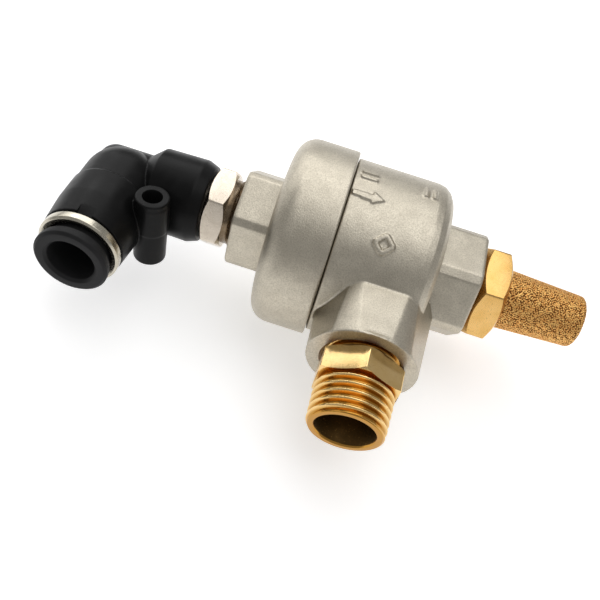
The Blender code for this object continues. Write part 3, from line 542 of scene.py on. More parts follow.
def raised_mark(outline, along, around, turn):
    """A flat-topped mark on the barrel. Its outline is in millimetres about the mark's own
    origin, whose height is along, in millimetres, and whose angle from the top is around, in
    degrees. The mark is turned about it by turn, in degrees."""
    shape = bmesh.new()
    shape.faces.new([shape.verts.new((x, y, 0)) for x, y in outline])
    bmesh.ops.triangulate(shape, faces=shape.faces)
    bmesh.ops.subdivide_edges(shape, edges=shape.edges, cuts=MARK_CUTS, use_grid_fill=True)
    walls = bmesh.ops.extrude_face_region(shape, geom=shape.faces[:])["geom"]
    top = {part for part in walls if isinstance(part, bmesh.types.BMVert)}
    for vert in shape.verts:
        spin = math.radians(turn)
        x = along + vert.co.x * math.cos(spin) - vert.co.y * math.sin(spin)
        arc = vert.co.x * math.sin(spin) + vert.co.y * math.cos(spin)
        radius = BODY_RADIUS + (MARK_HEIGHT if vert in top else -2 * MARK_HEIGHT)
        angle = math.radians(around) + arc * MM / BODY_RADIUS
        vert.co = (radius * math.cos(angle), radius * math.sin(angle), x * MM)
    bmesh.ops.transform(shape, matrix=MAIN, verts=shape.verts)
    bmesh.ops.recalc_face_normals(shape, faces=shape.faces)
    mesh = bpy.data.meshes.new("mark")
    shape.to_mesh(mesh)
    shape.free()
    return bpy.data.objects.new("mark", mesh)


def valve_body(material):
    """The casting: barrel, bosses and marks in one skin, then its spigot, chamber and ports."""
    seam_floor = CAP_RIM + SEAM_FLOOR_GAP
    barrel = turned("barrel", MAIN, rounded([
        (0, BODY_END), (BODY_RADIUS, BODY_END, BODY_SHOULDER),
        (BODY_RADIUS, BODY_START, EDGE_ROUND), (BODY_RADIUS - SEAM_DEPTH, BODY_START),
        (BODY_RADIUS - SEAM_DEPTH, seam_floor), (0, seam_floor),
    ], closed=False), closed=False)

    def exhaust_boss(angle):
        side = boss(angle, EXHAUST_FLATS, EXHAUST_CORNER)
        return rounded([
            (0, EXHAUST_FACE), (side, EXHAUST_FACE, CAST_ROUND),
            (side, BODY_END - BOSS_ROOT), (0, BODY_END - BOSS_ROOT),
        ], closed=False)

    def outlet_boss(angle):
        low = NOZZLE_RADIUS + BOSS_ROOT
        flats = 2 * (OUTLET_BOSS_RADIUS - OUTLET_FLAT_DEPTH)
        flat = hexagon(angle, flats, math.pi / 6, SHARP_EDGE)
        outline = []
        for i in range(BOSS_ROWS):
            height = OUTLET_FACE - (OUTLET_FACE - low) * i / (BOSS_ROWS - 1)
            cone = OUTLET_BOSS_RADIUS + (OUTLET_FACE - height) * OUTLET_BOSS_DRAFT
            fade = min((OUTLET_FACE - height) / OUTLET_LIP, 1)
            side = cone + min(flat - cone, 0) * fade * fade * (3 - 2 * fade)
            outline.append((side, height))
        return [(0, OUTLET_FACE), *outline, (0, low)]

    bosses = [
        turned("exhaust_boss", MAIN, exhaust_boss, closed=False),
        turned("outlet_boss", OUTLET, outlet_boss, closed=False),
    ]
    solids = [barrel, *bosses, *cast_marks()]
    body = moulded("body_casting", solids, CAST_VOXEL, SKIN_SOFTENING)
    spigot = turned("spigot", MAIN, rounded([
        (0, BODY_START + BOSS_ROOT), (SPIGOT_RADIUS, BODY_START + BOSS_ROOT),
        (SPIGOT_RADIUS, SPIGOT_END, EDGE_ROUND), (0, SPIGOT_END),
    ], closed=False), closed=False)
    combine(body, "UNION", spigot)
    floor = BODY_END - CHAMBER_END_WALL
    chamber = turned("chamber", MAIN, [
        (0, EXHAUST_FACE + GAP), (PORT_MOUTH + GAP, EXHAUST_FACE + GAP),
        (THREAD_RADIUS, EXHAUST_FACE - PORT_CHAMFER),
        (THREAD_RADIUS, floor + PORT_FLOOR_WALL), (NOZZLE_BORE, floor + PORT_FLOOR_WALL),
        (NOZZLE_BORE, NOZZLE_SEAT), (NOZZLE_RADIUS, NOZZLE_SEAT), (NOZZLE_RADIUS, floor),
        (CHAMBER_RADIUS, floor), (CHAMBER_RADIUS, SPIGOT_END - GAP), (0, SPIGOT_END - GAP),
    ], closed=False)
    middle = (NOZZLE_RADIUS + CHAMBER_RADIUS) / 2
    port_floor = CHAMBER_RADIUS + PORT_FLOOR_WALL
    port = turned("port", OUTLET, [
        (0, OUTLET_FACE + GAP), (PORT_MOUTH + GAP, OUTLET_FACE + GAP),
        (THREAD_RADIUS, OUTLET_FACE - PORT_CHAMFER), (THREAD_RADIUS, port_floor),
        (OUTLET_BORE, port_floor), (OUTLET_BORE, middle), (0, middle),
    ], closed=False)
    combine(body, "DIFFERENCE", chamber, port)
    finish(body, "valve_body", "valve", "cast_nickel", material)


def inlet_cap(material):
    """The screwed cap: a drum and its six-sided boss in one skin, then the hollow and port."""
    boss_foot = CAP_FACE + CAP_END_WALL / 2

    def inlet_boss(angle):
        side = boss(angle, INLET_FLATS, INLET_CORNER)
        return rounded([
            (0, boss_foot), (side, boss_foot),
            (side, INLET_FACE, CAST_ROUND), (0, INLET_FACE),
        ], closed=False)

    drum = turned("drum", MAIN, rounded([
        (0, CAP_RIM), (CAP_RADIUS, CAP_RIM, CAP_RIM_ROUND),
        (CAP_RADIUS, CAP_FACE, CAP_SHOULDER), (0, CAP_FACE),
    ], closed=False, count=BIG_ROUND_POINTS), closed=False)
    knob = turned("inlet_boss", MAIN, inlet_boss, closed=False)
    cap = moulded("cap_casting", [drum, knob], CAST_VOXEL, CAP_SOFTENING)
    floor = CAP_FACE + CAP_END_WALL
    seat = span("shuttle_cup", CROSSING, X)[0] - GAP
    land = floor + CAP_LAND
    hollow = turned("hollow", MAIN, [
        (0, seat), (0, CAP_RIM + GAP), (SPIGOT_RADIUS + GAP, CAP_RIM + GAP),
        (SPIGOT_RADIUS + GAP, floor), (CHAMBER_RADIUS - GAP, floor), (CHAMBER_RADIUS - GAP, land),
        (INLET_BORE + INLET_SEAT_WALL, land), (INLET_BORE + INLET_SEAT_WALL, seat),
    ])
    port_floor = land - PORT_FLOOR_WALL
    port = turned("port", MAIN, [
        (0, seat + GAP), (INLET_BORE, seat + GAP), (INLET_BORE, port_floor),
        (THREAD_RADIUS, port_floor), (THREAD_RADIUS, INLET_FACE + PORT_CHAMFER),
        (PORT_MOUTH + GAP, INLET_FACE - GAP), (0, INLET_FACE - GAP),
    ], closed=False)
    combine(cap, "DIFFERENCE", hollow, port)
    finish(cap, "inlet_cap", "valve", "cast_nickel", material)


def hex_corners(side, flats, low, high, low_turn, high_turn, edge):
    """A hexagon's outline at one angle, from its top face to its bottom face. Its corners are
    turned away outside the radius of each turned face."""
    slope = math.tan(HEX_BEVEL)
    high_radius = flats / 2 - high_turn
    low_radius = flats / 2 - low_turn
    return [
        (min(high_radius, side - edge), high, edge),
        (side, high - (side - high_radius) * slope, edge),
        (side, low + (side - low_radius) * slope, edge),
        (min(low_radius, side - edge), low, edge),
    ]


def outlet_nipple(material, inside):
    """The brass nipple, its tapered free thread cut as a helix. inside is the painted shade in its
    bore.
    """
    def section(angle):
        side = hexagon(angle, NIPPLE_FLATS, 0, NIPPLE_CORNER_ROUND)
        corners = hex_corners(
            side, NIPPLE_FLATS, NIPPLE_HEX_BASE, NIPPLE_HEX_TOP,
            NIPPLE_LOW_TURN, NIPPLE_HIGH_TURN, NIPPLE_EDGE,
        )
        free = threaded(
            thread_rows(THREAD_RADIUS, NIPPLE_TIP, NIPPLE_HEX_TOP),
            angle, NIPPLE_HEX_TOP, NIPPLE_TIP, THREAD_TAPER, NIPPLE_RUN_OUT,
        )
        screwed = threaded(
            thread_rows(SCREWED_RADIUS, NIPPLE_HEX_BASE, NIPPLE_INNER),
            angle, NIPPLE_INNER, NIPPLE_HEX_BASE,
        )
        return [
            *rounded([
                (NIPPLE_BORE, NIPPLE_TIP - NIPPLE_BORE_CHAMFER),
                (NIPPLE_BORE + NIPPLE_BORE_CHAMFER, NIPPLE_TIP, 0.05 * MM),
                (THREAD_ROOT + 0.1 * MM, NIPPLE_TIP, 0.12 * MM), free[0],
            ], closed=False),
            *free[1:],
            *rounded([free[-1], *corners, screwed[0]], closed=False),
            *screwed[1:],
            (THREAD_RELIEF, NIPPLE_INNER),
            (NIPPLE_BORE, NIPPLE_INNER),
        ]

    nipple = turned("nipple", OUTLET, section, columns=FINE_COLUMNS)
    finish(nipple, "outlet_nipple", "valve", "turned_brass", material, inside, sharp=50)
    inwards = OUTLET.inverted()
    # The faces of the bore take the painted shade.
    for face in nipple.data.polygons:
        if (inwards @ face.center).xy.length < NIPPLE_BORE + PICK_MARGIN:
            face.material_index = 1
    # Painted shade in the thread's valleys: each point keeps how near it stands to the crest.
    thread_shade_mask = nipple.data.color_attributes.new("thread_shade_mask", "FLOAT_COLOR", "POINT")
    for vert, tone in zip(nipple.data.vertices, thread_shade_mask.data):
        place = inwards @ vert.co
        fall = max(place.z - NIPPLE_HEX_TOP, 0) * THREAD_TAPER
        depth = (THREAD_RADIUS - fall - place.xy.length) / THREAD_DEPTH
        tone.color = (min(max(1 - depth, 0), 1), 0, 0, 1)


def elbow_stem(material, recess_shade):
    """The plated stud that the elbow turns on, with painted shade on the thread in the cap's
    mouth.
    """
    lock_low, lock_high = span("swivel_retainer", CROSSING, X)
    ring_low = JOURNAL_END + SEAL_GROOVE_START
    ring_high = ring_low + SEAL_GROOVE_WIDTH
    low = INLET_FACE - STEM_THREAD_RUN_OUT

    def section(angle):
        side = hexagon(angle, STEM_FLATS, STEM_CORNER, HEX_CORNER_ROUND)
        corners = hex_corners(
            side, STEM_FLATS, STEM_HEX_BASE, STEM_HEX_TOP, STEM_LOW_TURN, 0.0, STEM_EDGE
        )
        rows = thread_rows(SCREWED_RADIUS, STEM_TIP, INLET_FACE - STEM_THREAD_END)
        return [
            (STEM_BORE, STEM_TIP),
            (THREAD_RELIEF, STEM_TIP),
            *threaded(rows, angle, low, STEM_TIP),
            (STEM_NECK_RADIUS, low),
            *rounded([
                (STEM_NECK_RADIUS, STEM_HEX_TOP), *corners, (JOURNAL_RADIUS, STEM_HEX_BASE),
            ], closed=False),
            (JOURNAL_RADIUS, lock_high + GAP), (JOURNAL_GROOVE, lock_high + GAP),
            (JOURNAL_GROOVE, lock_low - GAP), (JOURNAL_RADIUS, lock_low - GAP),
            (JOURNAL_RADIUS, ring_high), (JOURNAL_GROOVE, ring_high),
            (JOURNAL_GROOVE, ring_low), (JOURNAL_RADIUS, ring_low),
            (JOURNAL_RADIUS, JOURNAL_END + JOURNAL_CHAMFER),
            (JOURNAL_RADIUS - JOURNAL_CHAMFER, JOURNAL_END), (STEM_BORE, JOURNAL_END),
        ]

    stem = turned("stem", MAIN, section, columns=FINE_COLUMNS, start=STEM_CORNER)
    finish(stem, "elbow_stem", "valve", "bright_nickel", material, recess_shade, sharp=50)
    # The neck and thread above the hexagon, sunk in the cap's mouth, take the painted shade.
    inwards = MAIN.inverted()
    for face in stem.data.polygons:
        middle = inwards @ face.center
        if middle.z > STEM_HEX_TOP + PICK_MARGIN and middle.xy.length < THREAD_RADIUS:
            face.material_index = 1


def silencer_body(material):
    """The silencer's hexagon plug, which holds the sintered cone."""
    socket = ELEMENT_BASE + GAP
    seat = SILENCER_TOP - ELEMENT_SEATING - GAP

    def section(angle):
        side = hexagon(angle, SILENCER_FLATS, SILENCER_CORNER, HEX_CORNER_ROUND)
        corners = hex_corners(
            side, SILENCER_FLATS, SILENCER_HEX_BASE, SILENCER_TOP,
            SILENCER_TURN, SILENCER_TURN, SILENCER_EDGE,
        )
        thread = threaded(
            thread_rows(SCREWED_RADIUS, SILENCER_HEX_BASE, SILENCER_INNER),
            angle, SILENCER_INNER, SILENCER_HEX_BASE,
        )
        return [
            *rounded([(socket, SILENCER_TOP, 0.1 * MM), *corners, thread[0]], closed=False),
            *thread[1:],
            (THREAD_RELIEF, SILENCER_INNER),
            (SILENCER_BORE, SILENCER_INNER), (SILENCER_BORE, seat), (socket, seat),
        ]

    body = turned(
        "silencer_hex", MAIN, section, columns=FINE_COLUMNS, start=SILENCER_CORNER
    )
    finish(body, "silencer_body", "valve", "turned_brass", material, sharp=50)


def silencer_element(material):
    """The sintered cone: round grains standing out of a fine grid, with pits between them."""
    base = SILENCER_TOP - ELEMENT_SEATING
    tip = ELEMENT_TIP - GRAIN_TIP_ROOM
    side = ELEMENT_BASE - GRAIN_SIDE_ROOM
    skin = refined(rounded([
        (0, tip), (ELEMENT_TIP_RADIUS - GRAIN_SIDE_ROOM, tip, ELEMENT_TIP_ROUND),
        (side, SILENCER_TOP), (side, base),
    ], closed=False), GRAIN_STEP)
    inner = [
        (ELEMENT_BASE - ELEMENT_WALL, base),
        (ELEMENT_TIP_RADIUS - ELEMENT_WALL, ELEMENT_TIP - 2 * ELEMENT_WALL),
        (0, ELEMENT_TIP - 2 * ELEMENT_WALL),
    ]
    columns = int(math.tau * ELEMENT_BASE / GRAIN_STEP)
    cone = turned("sintered_cone", MAIN, skin + inner, closed=False, columns=columns)
    mesh = cone.data
    points = np.empty(len(mesh.vertices) * 3)
    mesh.vertices.foreach_get("co", points)
    points = points.reshape(-1, 3)
    normals = np.array([v.normal[:] for v in mesh.vertices])
    random = np.random.default_rng(GRAIN_SEED)
    outer = np.linalg.norm(points[:, 1:] - np.array(CROSSING[1:]), axis=1)
    is_skin = (outer > ELEMENT_BASE - ELEMENT_WALL + GAP) | (
        points[:, 0] > CROSSING.x + ELEMENT_TIP - ELEMENT_WALL
    )
    centres = spread_points(points[is_skin], GRAIN_CLOSEST, random)
    tree = KDTree(len(centres))
    for i, centre in enumerate(centres):
        tree.insert(centre, i)
    tree.balance()
    sizes = GRAIN_RADIUS * random.uniform(*GRAIN_SIZES, len(centres))
    tones = random.uniform(0, 1, len(centres))
    colours = np.ones((len(points), 4))
    for i in np.flatnonzero(is_skin):
        _, nearest, away = tree.find(points[i])
        size = sizes[nearest]
        lift = math.sqrt(max(size * size - away * away, 0)) - size * GRAIN_BURIED
        points[i] += normals[i] * lift
        # Red is how far a point stands out, for the painted shade in the pits; green is its
        # grain's own tone.
        colours[i] = (max(lift / (size * (1 - GRAIN_BURIED)), 0), tones[nearest], 0, 1)
    mesh.vertices.foreach_set("co", points.ravel())
    attribute = mesh.color_attributes.new("grains", "FLOAT_COLOR", "POINT")
    attribute.data.foreach_set("color", colours.ravel())
    mesh.update()
    finish(cone, "silencer_element", "valve", "sintered_bronze", material, sharp=180)


def spread_points(points, spacing, random):
    """Points picked at random, no two of them closer than the spacing."""
    cells = {}
    kept = []
    for i in random.permutation(len(points)):
        point = points[i]
        cell = tuple((point // spacing).astype(int))
        near = (
            other
            for x in (-1, 0, 1) for y in (-1, 0, 1) for z in (-1, 0, 1)
            for other in cells.get((cell[0] + x, cell[1] + y, cell[2] + z), ())
        )
        if all(np.sum((other - point) ** 2) > spacing**2 for other in near):
            cells.setdefault(cell, []).append(point)
            kept.append(point)
    return kept


def elbow_body(material):
    """The moulded elbow: two legs and the mounting tube in one skin, then its bores."""
    low = INLET_LEG_TOP - INLET_LEG_LENGTH
    inlet = turned("inlet_leg", INLET_LEG, rounded([
        (0, INLET_LEG_TOP), (INLET_LEG_RADIUS - INLET_LEG_INSET, INLET_LEG_TOP, EDGE_ROUND),
        (INLET_LEG_RADIUS, INLET_LEG_TOP - INLET_LEG_CHAMFER, 0.8 * MM),
        (INLET_LEG_RADIUS - INLET_LEG_TAPER, low, 0.35 * MM),
        (NECK_RADIUS, low - INLET_LEG_SHOULDER, 0.3 * MM),
        (NECK_RADIUS, -NECK_RADIUS, NECK_RADIUS / 2), (0, -NECK_RADIUS),
    ], closed=False, count=BIG_ROUND_POINTS), closed=False)
    corner_radius = BARREL_RADIUS - CORNER_INSET
    dome_middle = Vector((0, CORNER_DOME_OUT))
    dome = arc_points(dome_middle, corner_radius, 0, -math.pi / 2, DOME_POINTS)
    barrel = turned("tube_leg", TUBE_LEG, [
        *rounded([
            (0, BARREL_TOP), (BARREL_RADIUS - BARREL_TAPER, BARREL_TOP, 0.15 * MM),
            (BARREL_RADIUS, (BARREL_TOP + CORNER_LENGTH) / 2, 2 * MM),
            (BARREL_RADIUS, CORNER_LENGTH, LINE_ROUND),
            (corner_radius, CORNER_LENGTH - CORNER_INSET, LINE_ROUND), dome[0],
        ], closed=False), *dome[1:],
    ], closed=False)
    half = MOUNT_LENGTH / 2
    band = half - MOUNT_TOP_BAND
    upper, lower = MOUNT_RADIUS - MOUNT_TOP_INSET, MOUNT_RADIUS - MOUNT_LOW_INSET
    tube = turned("tube", MOUNT, rounded([
        (0, half), (upper, half, EDGE_ROUND), (upper, band, MOUNT_STEP_ROUND),
        (MOUNT_RADIUS, band - MOUNT_STEP, MOUNT_STEP_ROUND),
        (MOUNT_RADIUS, MOUNT_STEP, MOUNT_STEP_ROUND),
        (lower, 0.0, MOUNT_STEP_ROUND), (lower, -half, 0.35 * MM), (0, -half),
    ], closed=False), closed=False)
    body = moulded("elbow_moulding", [inlet, barrel, tube], PLASTIC_VOXEL, SKIN_SOFTENING)
    retainer_low, retainer_high = span("swivel_retainer", SWIVEL, X)
    retainer_reach = span("swivel_retainer", SWIVEL, ELBOW_UP)[1]
    journal = JOURNAL_RADIUS + GAP
    journal_floor = JOURNAL_END + CROSSING.x - SWIVEL.x - GAP
    stem_bore = turned("stem_bore", INLET_LEG, [
        (0, INLET_LEG_TOP + GAP), (journal + GAP, INLET_LEG_TOP + GAP),
        (journal, INLET_LEG_TOP - GAP), (journal, retainer_high + GAP),
        (retainer_reach + GAP, retainer_high + GAP), (retainer_reach + GAP, retainer_low - GAP),
        (journal, retainer_low - GAP), (journal, journal_floor), (STEM_BORE, journal_floor),
        (STEM_BORE, 0), (0, 0),
    ], closed=False)
    socket = turned("socket", TUBE_LEG, [
        (0, BARREL_TOP + GAP), (SOCKET_RADIUS, BARREL_TOP + GAP), (SOCKET_RADIUS, TUBE_STOP),
        (STEM_BORE, TUBE_STOP), (STEM_BORE, -STEM_BORE), (0, -STEM_BORE),
    ], closed=False)
    hole = turned("hole", MOUNT, [
        (0, half + GAP), (MOUNT_HOLE + GAP, half + GAP), (MOUNT_HOLE, half - GAP / 2),
        (MOUNT_HOLE, -half + GAP / 2), (MOUNT_HOLE + GAP, -half - GAP), (0, -half - GAP),
    ], closed=False)
    combine(body, "DIFFERENCE", stem_bore, socket, hole, rim_pocket())
    finish(body, "elbow_body", "elbow", "black_plastic", material, sharp=45)


def rim_pocket():
    """A shallow pocket in the tube leg's rim, deepest at the rim."""
    outer = BARREL_RADIUS + POCKET_OVERCUT
    section = [
        (outer, BARREL_TOP + GAP), (outer, BARREL_TOP - POCKET_LENGTH),
        (BARREL_RADIUS - POCKET_FOOT_DEPTH, BARREL_TOP - POCKET_LENGTH),
        (BARREL_RADIUS - POCKET_RIM_DEPTH, BARREL_TOP + GAP),
    ]
    rows = []
    for i in range(POCKET_COLUMNS + 1):
        angle = POCKET_START + (POCKET_END - POCKET_START) * i / POCKET_COLUMNS
        for radius, height in section:
            rows.append((radius * math.cos(angle), radius * math.sin(angle), height))
    faces = [(0, 1, 2, 3), tuple(4 * POCKET_COLUMNS + k for k in (3, 2, 1, 0))]
    for i in range(POCKET_COLUMNS):
        for j in range(4):
            k = (j + 1) % 4
            faces.append((4 * i + j, 4 * (i + 1) + j, 4 * (i + 1) + k, 4 * i + k))
    mesh = bpy.data.meshes.new("pocket")
    mesh.from_pydata([TUBE_LEG @ Vector(row) for row in rows], [], faces)
    shape = bmesh.new()
    shape.from_mesh(mesh)
    bmesh.ops.recalc_face_normals(shape, faces=shape.faces)
    shape.to_mesh(mesh)
    shape.free()
    pocket = bpy.data.objects.new("pocket", mesh)
    bpy.context.scene.collection.objects.link(pocket)
    return pocket


def cartridge_ring(material):
    """The bright flanged sleeve in the tube leg's mouth."""
    flange_foot = RING_TOP - RING_FLANGE
    bore = COLLAR_SLEEVE + GAP
    ring = turned("bright_ring", TUBE_LEG, rounded([
        (bore + 0.5 * MM, RING_TOP - 0.15 * MM, 0.1 * MM),
        (RING_RADIUS - 0.35 * MM, RING_TOP, 0.15 * MM),
        (RING_RADIUS, RING_TOP - 0.35 * MM, 0.2 * MM), (RING_RADIUS, flange_foot, 0.12 * MM),
        (RING_SLEEVE, flange_foot), (RING_SLEEVE, RING_BASE, 0.15 * MM),
        (bore, RING_BASE, 0.1 * MM), (bore, RING_TOP - 0.55 * MM, 0.1 * MM),
    ]))
    finish(ring, "cartridge_ring", "elbow", "bright_nickel", material)


def release_collar(material):
    """The collar that is pushed in to free the tube."""
    low = COLLAR_FACE - COLLAR_FLANGE
    stepped = COLLAR_RADIUS - COLLAR_STEP
    collar = turned("push_collar", TUBE_LEG, rounded([
        (TUBE_HOLE + COLLAR_LEAD_IN, COLLAR_FACE - 0.02 * MM, 0.1 * MM),
        (COLLAR_RADIUS - 0.45 * MM, COLLAR_FACE, 0.25 * MM),
        (COLLAR_RADIUS, COLLAR_FACE - 0.4 * MM, 0.25 * MM),
        (COLLAR_RADIUS, COLLAR_FACE - COLLAR_RIM, LINE_ROUND),
        (stepped, COLLAR_FACE - COLLAR_RIM_END, LINE_ROUND),
        (stepped, low, 0.12 * MM), (COLLAR_SLEEVE, low, 0.1 * MM),
        (COLLAR_SLEEVE, COLLAR_TIP + COLLAR_TIP_CHAMFER),
        (COLLAR_SLEEVE - COLLAR_TIP_CHAMFER, COLLAR_TIP),
        (TUBE_HOLE, COLLAR_TIP), (TUBE_HOLE, COLLAR_FACE - COLLAR_LEAD_IN, 0.15 * MM),
    ]))
    finish(collar, "release_collar", "collar", "charcoal_plastic", material)


def add(tree, kind, **inputs):
    """A shader node, each input set to a value or linked from a socket."""
    node = tree.nodes.new("ShaderNode" + kind)
    for name, value in inputs.items():
        socket = node.inputs[name.replace("_", " ")]
        if isinstance(value, bpy.types.NodeSocket):
            tree.links.new(value, socket)
        else:
            socket.default_value = value
    return node


def ramp(tree, factor, low, high, to_low, to_high):
    """A value's low to high, stretched over another range and held at its ends."""
    node = add(tree, "MapRange", Value=factor)
    node.inputs["From Min"].default_value = low
    node.inputs["From Max"].default_value = high
    node.inputs["To Min"].default_value = to_low
    node.inputs["To Max"].default_value = to_high
    return node.outputs["Result"]


def varied(tree, value, low, high):
    """Noise, which stays mostly near its middle, stretched over a range."""
    return ramp(tree, value, NOISE_LOW, NOISE_HIGH, low, high)


def mixed(tree, factor, first, second):
    """Two colours mixed, each a colour or a socket. The node repeats its sockets' names for every
    kind of value, so the ones for colours are picked by number."""
    node = tree.nodes.new("ShaderNodeMix")
    node.data_type = "RGBA"
    for socket, value in zip((0, 6, 7), (factor, first, second)):
        if isinstance(value, bpy.types.NodeSocket):
            tree.links.new(value, node.inputs[socket])
        else:
            node.inputs[socket].default_value = value if socket == 0 else (*value, 1)
    return node.outputs[2]


def noise(tree, size, detail=3.0, stretch=(1, 1, 1)):
    """Noise whose features are this large, in metres."""
    where = add(tree, "TexCoord").outputs["Object"]
    mapping = add(tree, "Mapping", Vector=where, Scale=stretch)
    node = add(tree, "TexNoise", Vector=mapping.outputs["Vector"], Scale=1 / size, Detail=detail)
    return node.outputs["Fac"]


def new_material(name, metallic=0.0, **uniform):
    """A material, its shader and its node tree, with values that are the same all over."""
    material = bpy.data.materials.new(name)
    material.use_nodes = True
    tree = material.node_tree
    shader = tree.nodes["Principled BSDF"]
    shader.inputs["Metallic"].default_value = metallic
    for key, value in uniform.items():
        shader.inputs[key.replace("_", " ")].default_value = value
    return material, tree, shader


def surface(tree, shader, colour, roughness, height, distance):
    """Gives the shader its colour, its roughness and a bump this deep."""
    tree.links.new(colour, shader.inputs["Base Color"])
    tree.links.new(roughness, shader.inputs["Roughness"])
    bump = add(tree, "Bump", Height=height, Distance=distance)
    tree.links.new(bump.outputs["Normal"], shader.inputs["Normal"])


def sum_of(tree, first, second, share):
    """The first value and a share of the second."""
    node = add(tree, "Math")
    node.operation = "MULTIPLY_ADD"
    tree.links.new(second, node.inputs[0])
    node.inputs[1].default_value = share
    tree.links.new(first, node.inputs[2])
    return node.outputs[0]


def cast_nickel():
    """Bead-blasted nickel plate: a fine pebbled skin, mottled, with a few darker specks."""
    material, tree, shader = new_material("bead_blasted_nickel", 1.0)
    mottle = noise(tree, 2.4 * MM, 4)
    grain = noise(tree, 0.22 * MM, 3)
    fine = noise(tree, 0.07 * MM, 2)
    base = mixed(tree, varied(tree, mottle, 0, 1), *CAST_NICKEL)
    speck = ramp(tree, grain, 0.34, 0.58, 0.55, 0)
    colour = mixed(tree, speck, base, CAST_SPECK)
    roughness = varied(tree, grain, 0.46, 0.34)
    surface(tree, shader, colour, roughness, sum_of(tree, grain, fine, 0.5), 0.036 * MM)
    return material


def bright_nickel(name, colours):
    """Smooth nickel plate over turned brass, warm, with faint tool lines and small pits."""
    material, tree, shader = new_material(name, 1.0)
    mottle = noise(tree, 1.6 * MM, 3)
    lines = noise(tree, 0.5 * MM, 3, (9, 1, 1))
    pits = noise(tree, 0.35 * MM, 2)
    base = mixed(tree, varied(tree, mottle, 0, 1), *colours)
    colour = mixed(tree, ramp(tree, pits, 0.24, 0.34, 1, 0), base, NICKEL_PIT)
    roughness = varied(tree, lines, 0.17, 0.3)
    surface(tree, shader, colour, roughness, sum_of(tree, lines, pits, 0.6), 0.006 * MM)
    return material


def brass(name, colours, rough, valley_shade=None):
    """Turned brass, a little oxidised in patches, with faint tool lines. rough is the range of
    its roughness. With a valley colour, a thread gets painted shade: its valleys darker than its
    crests."""
    material, tree, shader = new_material(name, 1.0)
    patches = noise(tree, 2.2 * MM, 4)
    lines = noise(tree, 0.4 * MM, 2, (8, 1, 1))
    pits = noise(tree, 0.3 * MM, 2)
    colour = mixed(tree, varied(tree, patches, 0, 1), *colours)
    colour = mixed(tree, ramp(tree, pits, 0.25, 0.36, 0.7, 0), colour, BRASS_PIT)
    if valley_shade:
        # Painted shade, darkest in the thread's valleys.
        crest_height = attribute_channels(tree, "thread_shade_mask")["Red"]
        colour = mixed(tree, ramp(tree, crest_height, 0.45, 0.95, 1, 0), colour, valley_shade)
    roughness = varied(tree, lines, *rough)
    surface(tree, shader, colour, roughness, sum_of(tree, lines, pits, 0.5), 0.005 * MM)
    return material


def attribute_channels(tree, name):
    """The channels of a colour attribute of the mesh."""
    attribute = tree.nodes.new("ShaderNodeAttribute")
    attribute.attribute_name = name
    return add(tree, "SeparateColor", Color=attribute.outputs["Color"]).outputs


def sintered_bronze():
    """Fused bronze grains: bright where they stand out, with painted shade, dark brown, in the
    pits between.
    """
    material, tree, shader = new_material("sintered_bronze", 0.95)
    channels = attribute_channels(tree, "grains")
    lift, tone = channels["Red"], channels["Green"]
    grain = mixed(tree, tone, *BRONZE_GRAINS)
    # Painted shade, dark brown where a point sinks between grains.
    colour = mixed(tree, ramp(tree, lift, 0.1, 0.75, 0, 1), BRONZE_PIT_SHADE, grain)
    roughness = ramp(tree, lift, 0.2, 0.9, 0.7, 0.3)
    surface(tree, shader, colour, roughness, noise(tree, 0.06 * MM, 2), 0.012 * MM)
    return material


def plastic(name, colours, rough):
    """Moulded plastic with a faint spark-eroded texture and an uneven gloss. rough is the range
    of its roughness."""
    material, tree, shader = new_material(name, IOR=1.5, Specular_IOR_Level=PLASTIC_SPECULAR)
    clouds = noise(tree, 3 * MM, 3)
    skin = noise(tree, 0.12 * MM, 2)
    colour = mixed(tree, varied(tree, clouds, 0, 1), *colours)
    surface(tree, shader, colour, varied(tree, clouds, *rough), skin, 0.006 * MM)
    return material


def spring_steel():
    """Stamped stainless strip with a rolled grain."""
    material, tree, shader = new_material("spring_steel", 1.0)
    lines = noise(tree, 0.3 * MM, 3, (1, 8, 1))
    colour = mixed(tree, lines, *STEEL)
    surface(tree, shader, colour, varied(tree, lines, 0.18, 0.34), lines, 0.004 * MM)
    return material


def inner_pieces():
    """Materials for the CAD nodes that stay: the seals and the rings inside."""
    rubber = plastic("seal_rubber", RUBBER, (0.45, 0.65))
    white = plastic("natural_plastic", NATURAL, (0.4, 0.5))
    amber = plastic("polyurethane", AMBER, (0.3, 0.42))
    steel = spring_steel()
    kept = {
        "cap_o_ring": rubber, "stem_o_ring": rubber, "tube_seal": rubber,
        "shuttle_cup": amber, "seal_spacer": white, "guide_ring": white,
        "swivel_retainer": steel, "grab_ring": steel,
    }
    for node, material in kept.items():
        mesh = frame["nodes"][node].data
        mesh.materials.clear()
        mesh.materials.append(material)
        mesh.shade_smooth()
        mesh.set_sharp_from_angle(angle=math.radians(35))


def make_camera():
    """The photo's viewpoint."""
    azimuth, elevation = math.radians(CAMERA_AZIMUTH), math.radians(CAMERA_ELEVATION)
    back = Vector((
        math.sin(azimuth) * math.cos(elevation),
        -math.cos(azimuth) * math.cos(elevation),
        math.sin(elevation),
    ))
    target = CROSSING + CAMERA_TARGET
    data = bpy.data.cameras.new("camera")
    data.lens = CAMERA_LENS
    data.clip_start = MM
    camera = bpy.data.objects.new("camera", data)
    turn = back.to_track_quat("Z", "Y").to_matrix().to_4x4()
    roll = Matrix.Rotation(math.radians(CAMERA_ROLL), 4, "Z")
    camera.matrix_world = Matrix.Translation(target + back * CAMERA_DISTANCE) @ turn @ roll
    bpy.context.scene.collection.objects.link(camera)
    bpy.context.scene.camera = camera


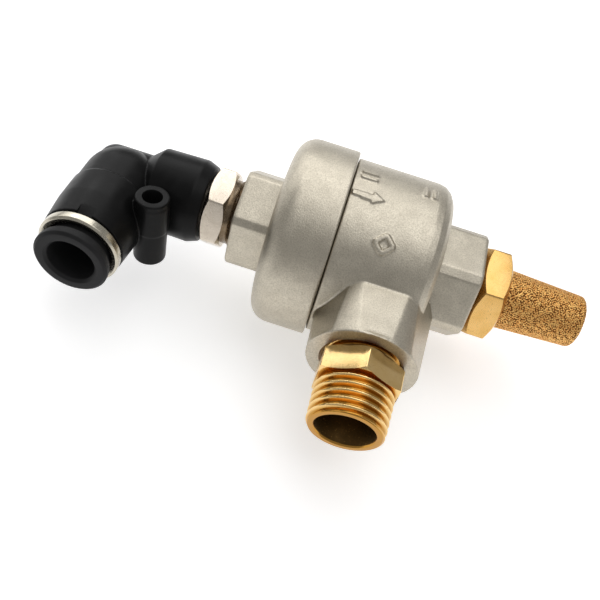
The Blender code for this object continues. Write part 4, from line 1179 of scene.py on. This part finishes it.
def area_light(name, location, size, power):
    """A soft lamp that faces the object."""
    data = bpy.data.lights.new(name, "AREA")
    data.shape = "RECTANGLE"
    data.size, data.size_y = size
    data.energy = power
    light = bpy.data.objects.new(name, data)
    light.location = location
    back = Vector(location) - Vector((0, 0, CAP_RADIUS))
    light.rotation_euler = back.to_track_quat("Z", "Y").to_euler()
    bpy.context.scene.collection.objects.link(light)


def make_studio():
    """A pale floor, a pale room and large soft lamps."""
    for name, lamp in LAMPS.items():
        area_light(name, *lamp)
    world = bpy.context.scene.world or bpy.data.worlds.new("studio")
    bpy.context.scene.world = world
    world.use_nodes = True
    background = world.node_tree.nodes["Background"]
    background.inputs["Color"].default_value = WHITE
    background.inputs["Strength"].default_value = ROOM_LIGHT
    mesh = bpy.data.meshes.new("floor")
    shape = bmesh.new()
    bmesh.ops.create_grid(shape, x_segments=1, y_segments=1, size=FLOOR_SIZE)
    shape.to_mesh(mesh)
    shape.free()
    floor = bpy.data.objects.new("floor", mesh)
    floor.location.z = -FLOOR_DROP
    bpy.context.scene.collection.objects.link(floor)
    material, _, shader = new_material("pale_floor")
    shader.inputs["Base Color"].default_value = PALE_FLOOR
    shader.inputs["Roughness"].default_value = 0.7
    shader.inputs["Emission Color"].default_value = WHITE
    shader.inputs["Emission Strength"].default_value = FLOOR_GLOW
    mesh.materials.append(material)
    bpy.context.scene.view_settings.view_transform = "Standard"


def build():
    """Every piece of the valve with its materials."""
    casting = cast_nickel()
    plating = bright_nickel("bright_nickel", STEM_NICKEL)
    ring_nickel = bright_nickel("ring_nickel", RING_NICKEL)
    hex_brass = brass("turned_brass", HEX_BRASS, (0.2, 0.32))
    thread_brass = brass("threaded_brass", NIPPLE_BRASS, (0.14, 0.26), BRASS_VALLEY_SHADE)
    black = plastic("black_plastic", BLACK, (0.28, 0.42))
    charcoal = plastic("charcoal_plastic", CHARCOAL, (0.4, 0.52))
    valve_body(casting)
    inlet_cap(casting)
    # The stem's thread in the cap's mouth gets a painted shade.
    elbow_stem(plating, bright_nickel("stem_thread_shade", STEM_THREAD_SHADE))
    # The nipple's bore gets a painted shade.
    outlet_nipple(thread_brass, brass("bore_shade", BORE_SHADE, (0.35, 0.5)))
    silencer_body(hex_brass)
    silencer_element(sintered_bronze())
    elbow_body(black)
    cartridge_ring(ring_nickel)
    release_collar(charcoal)
    inner_pieces()


build()
make_camera()
make_studio()
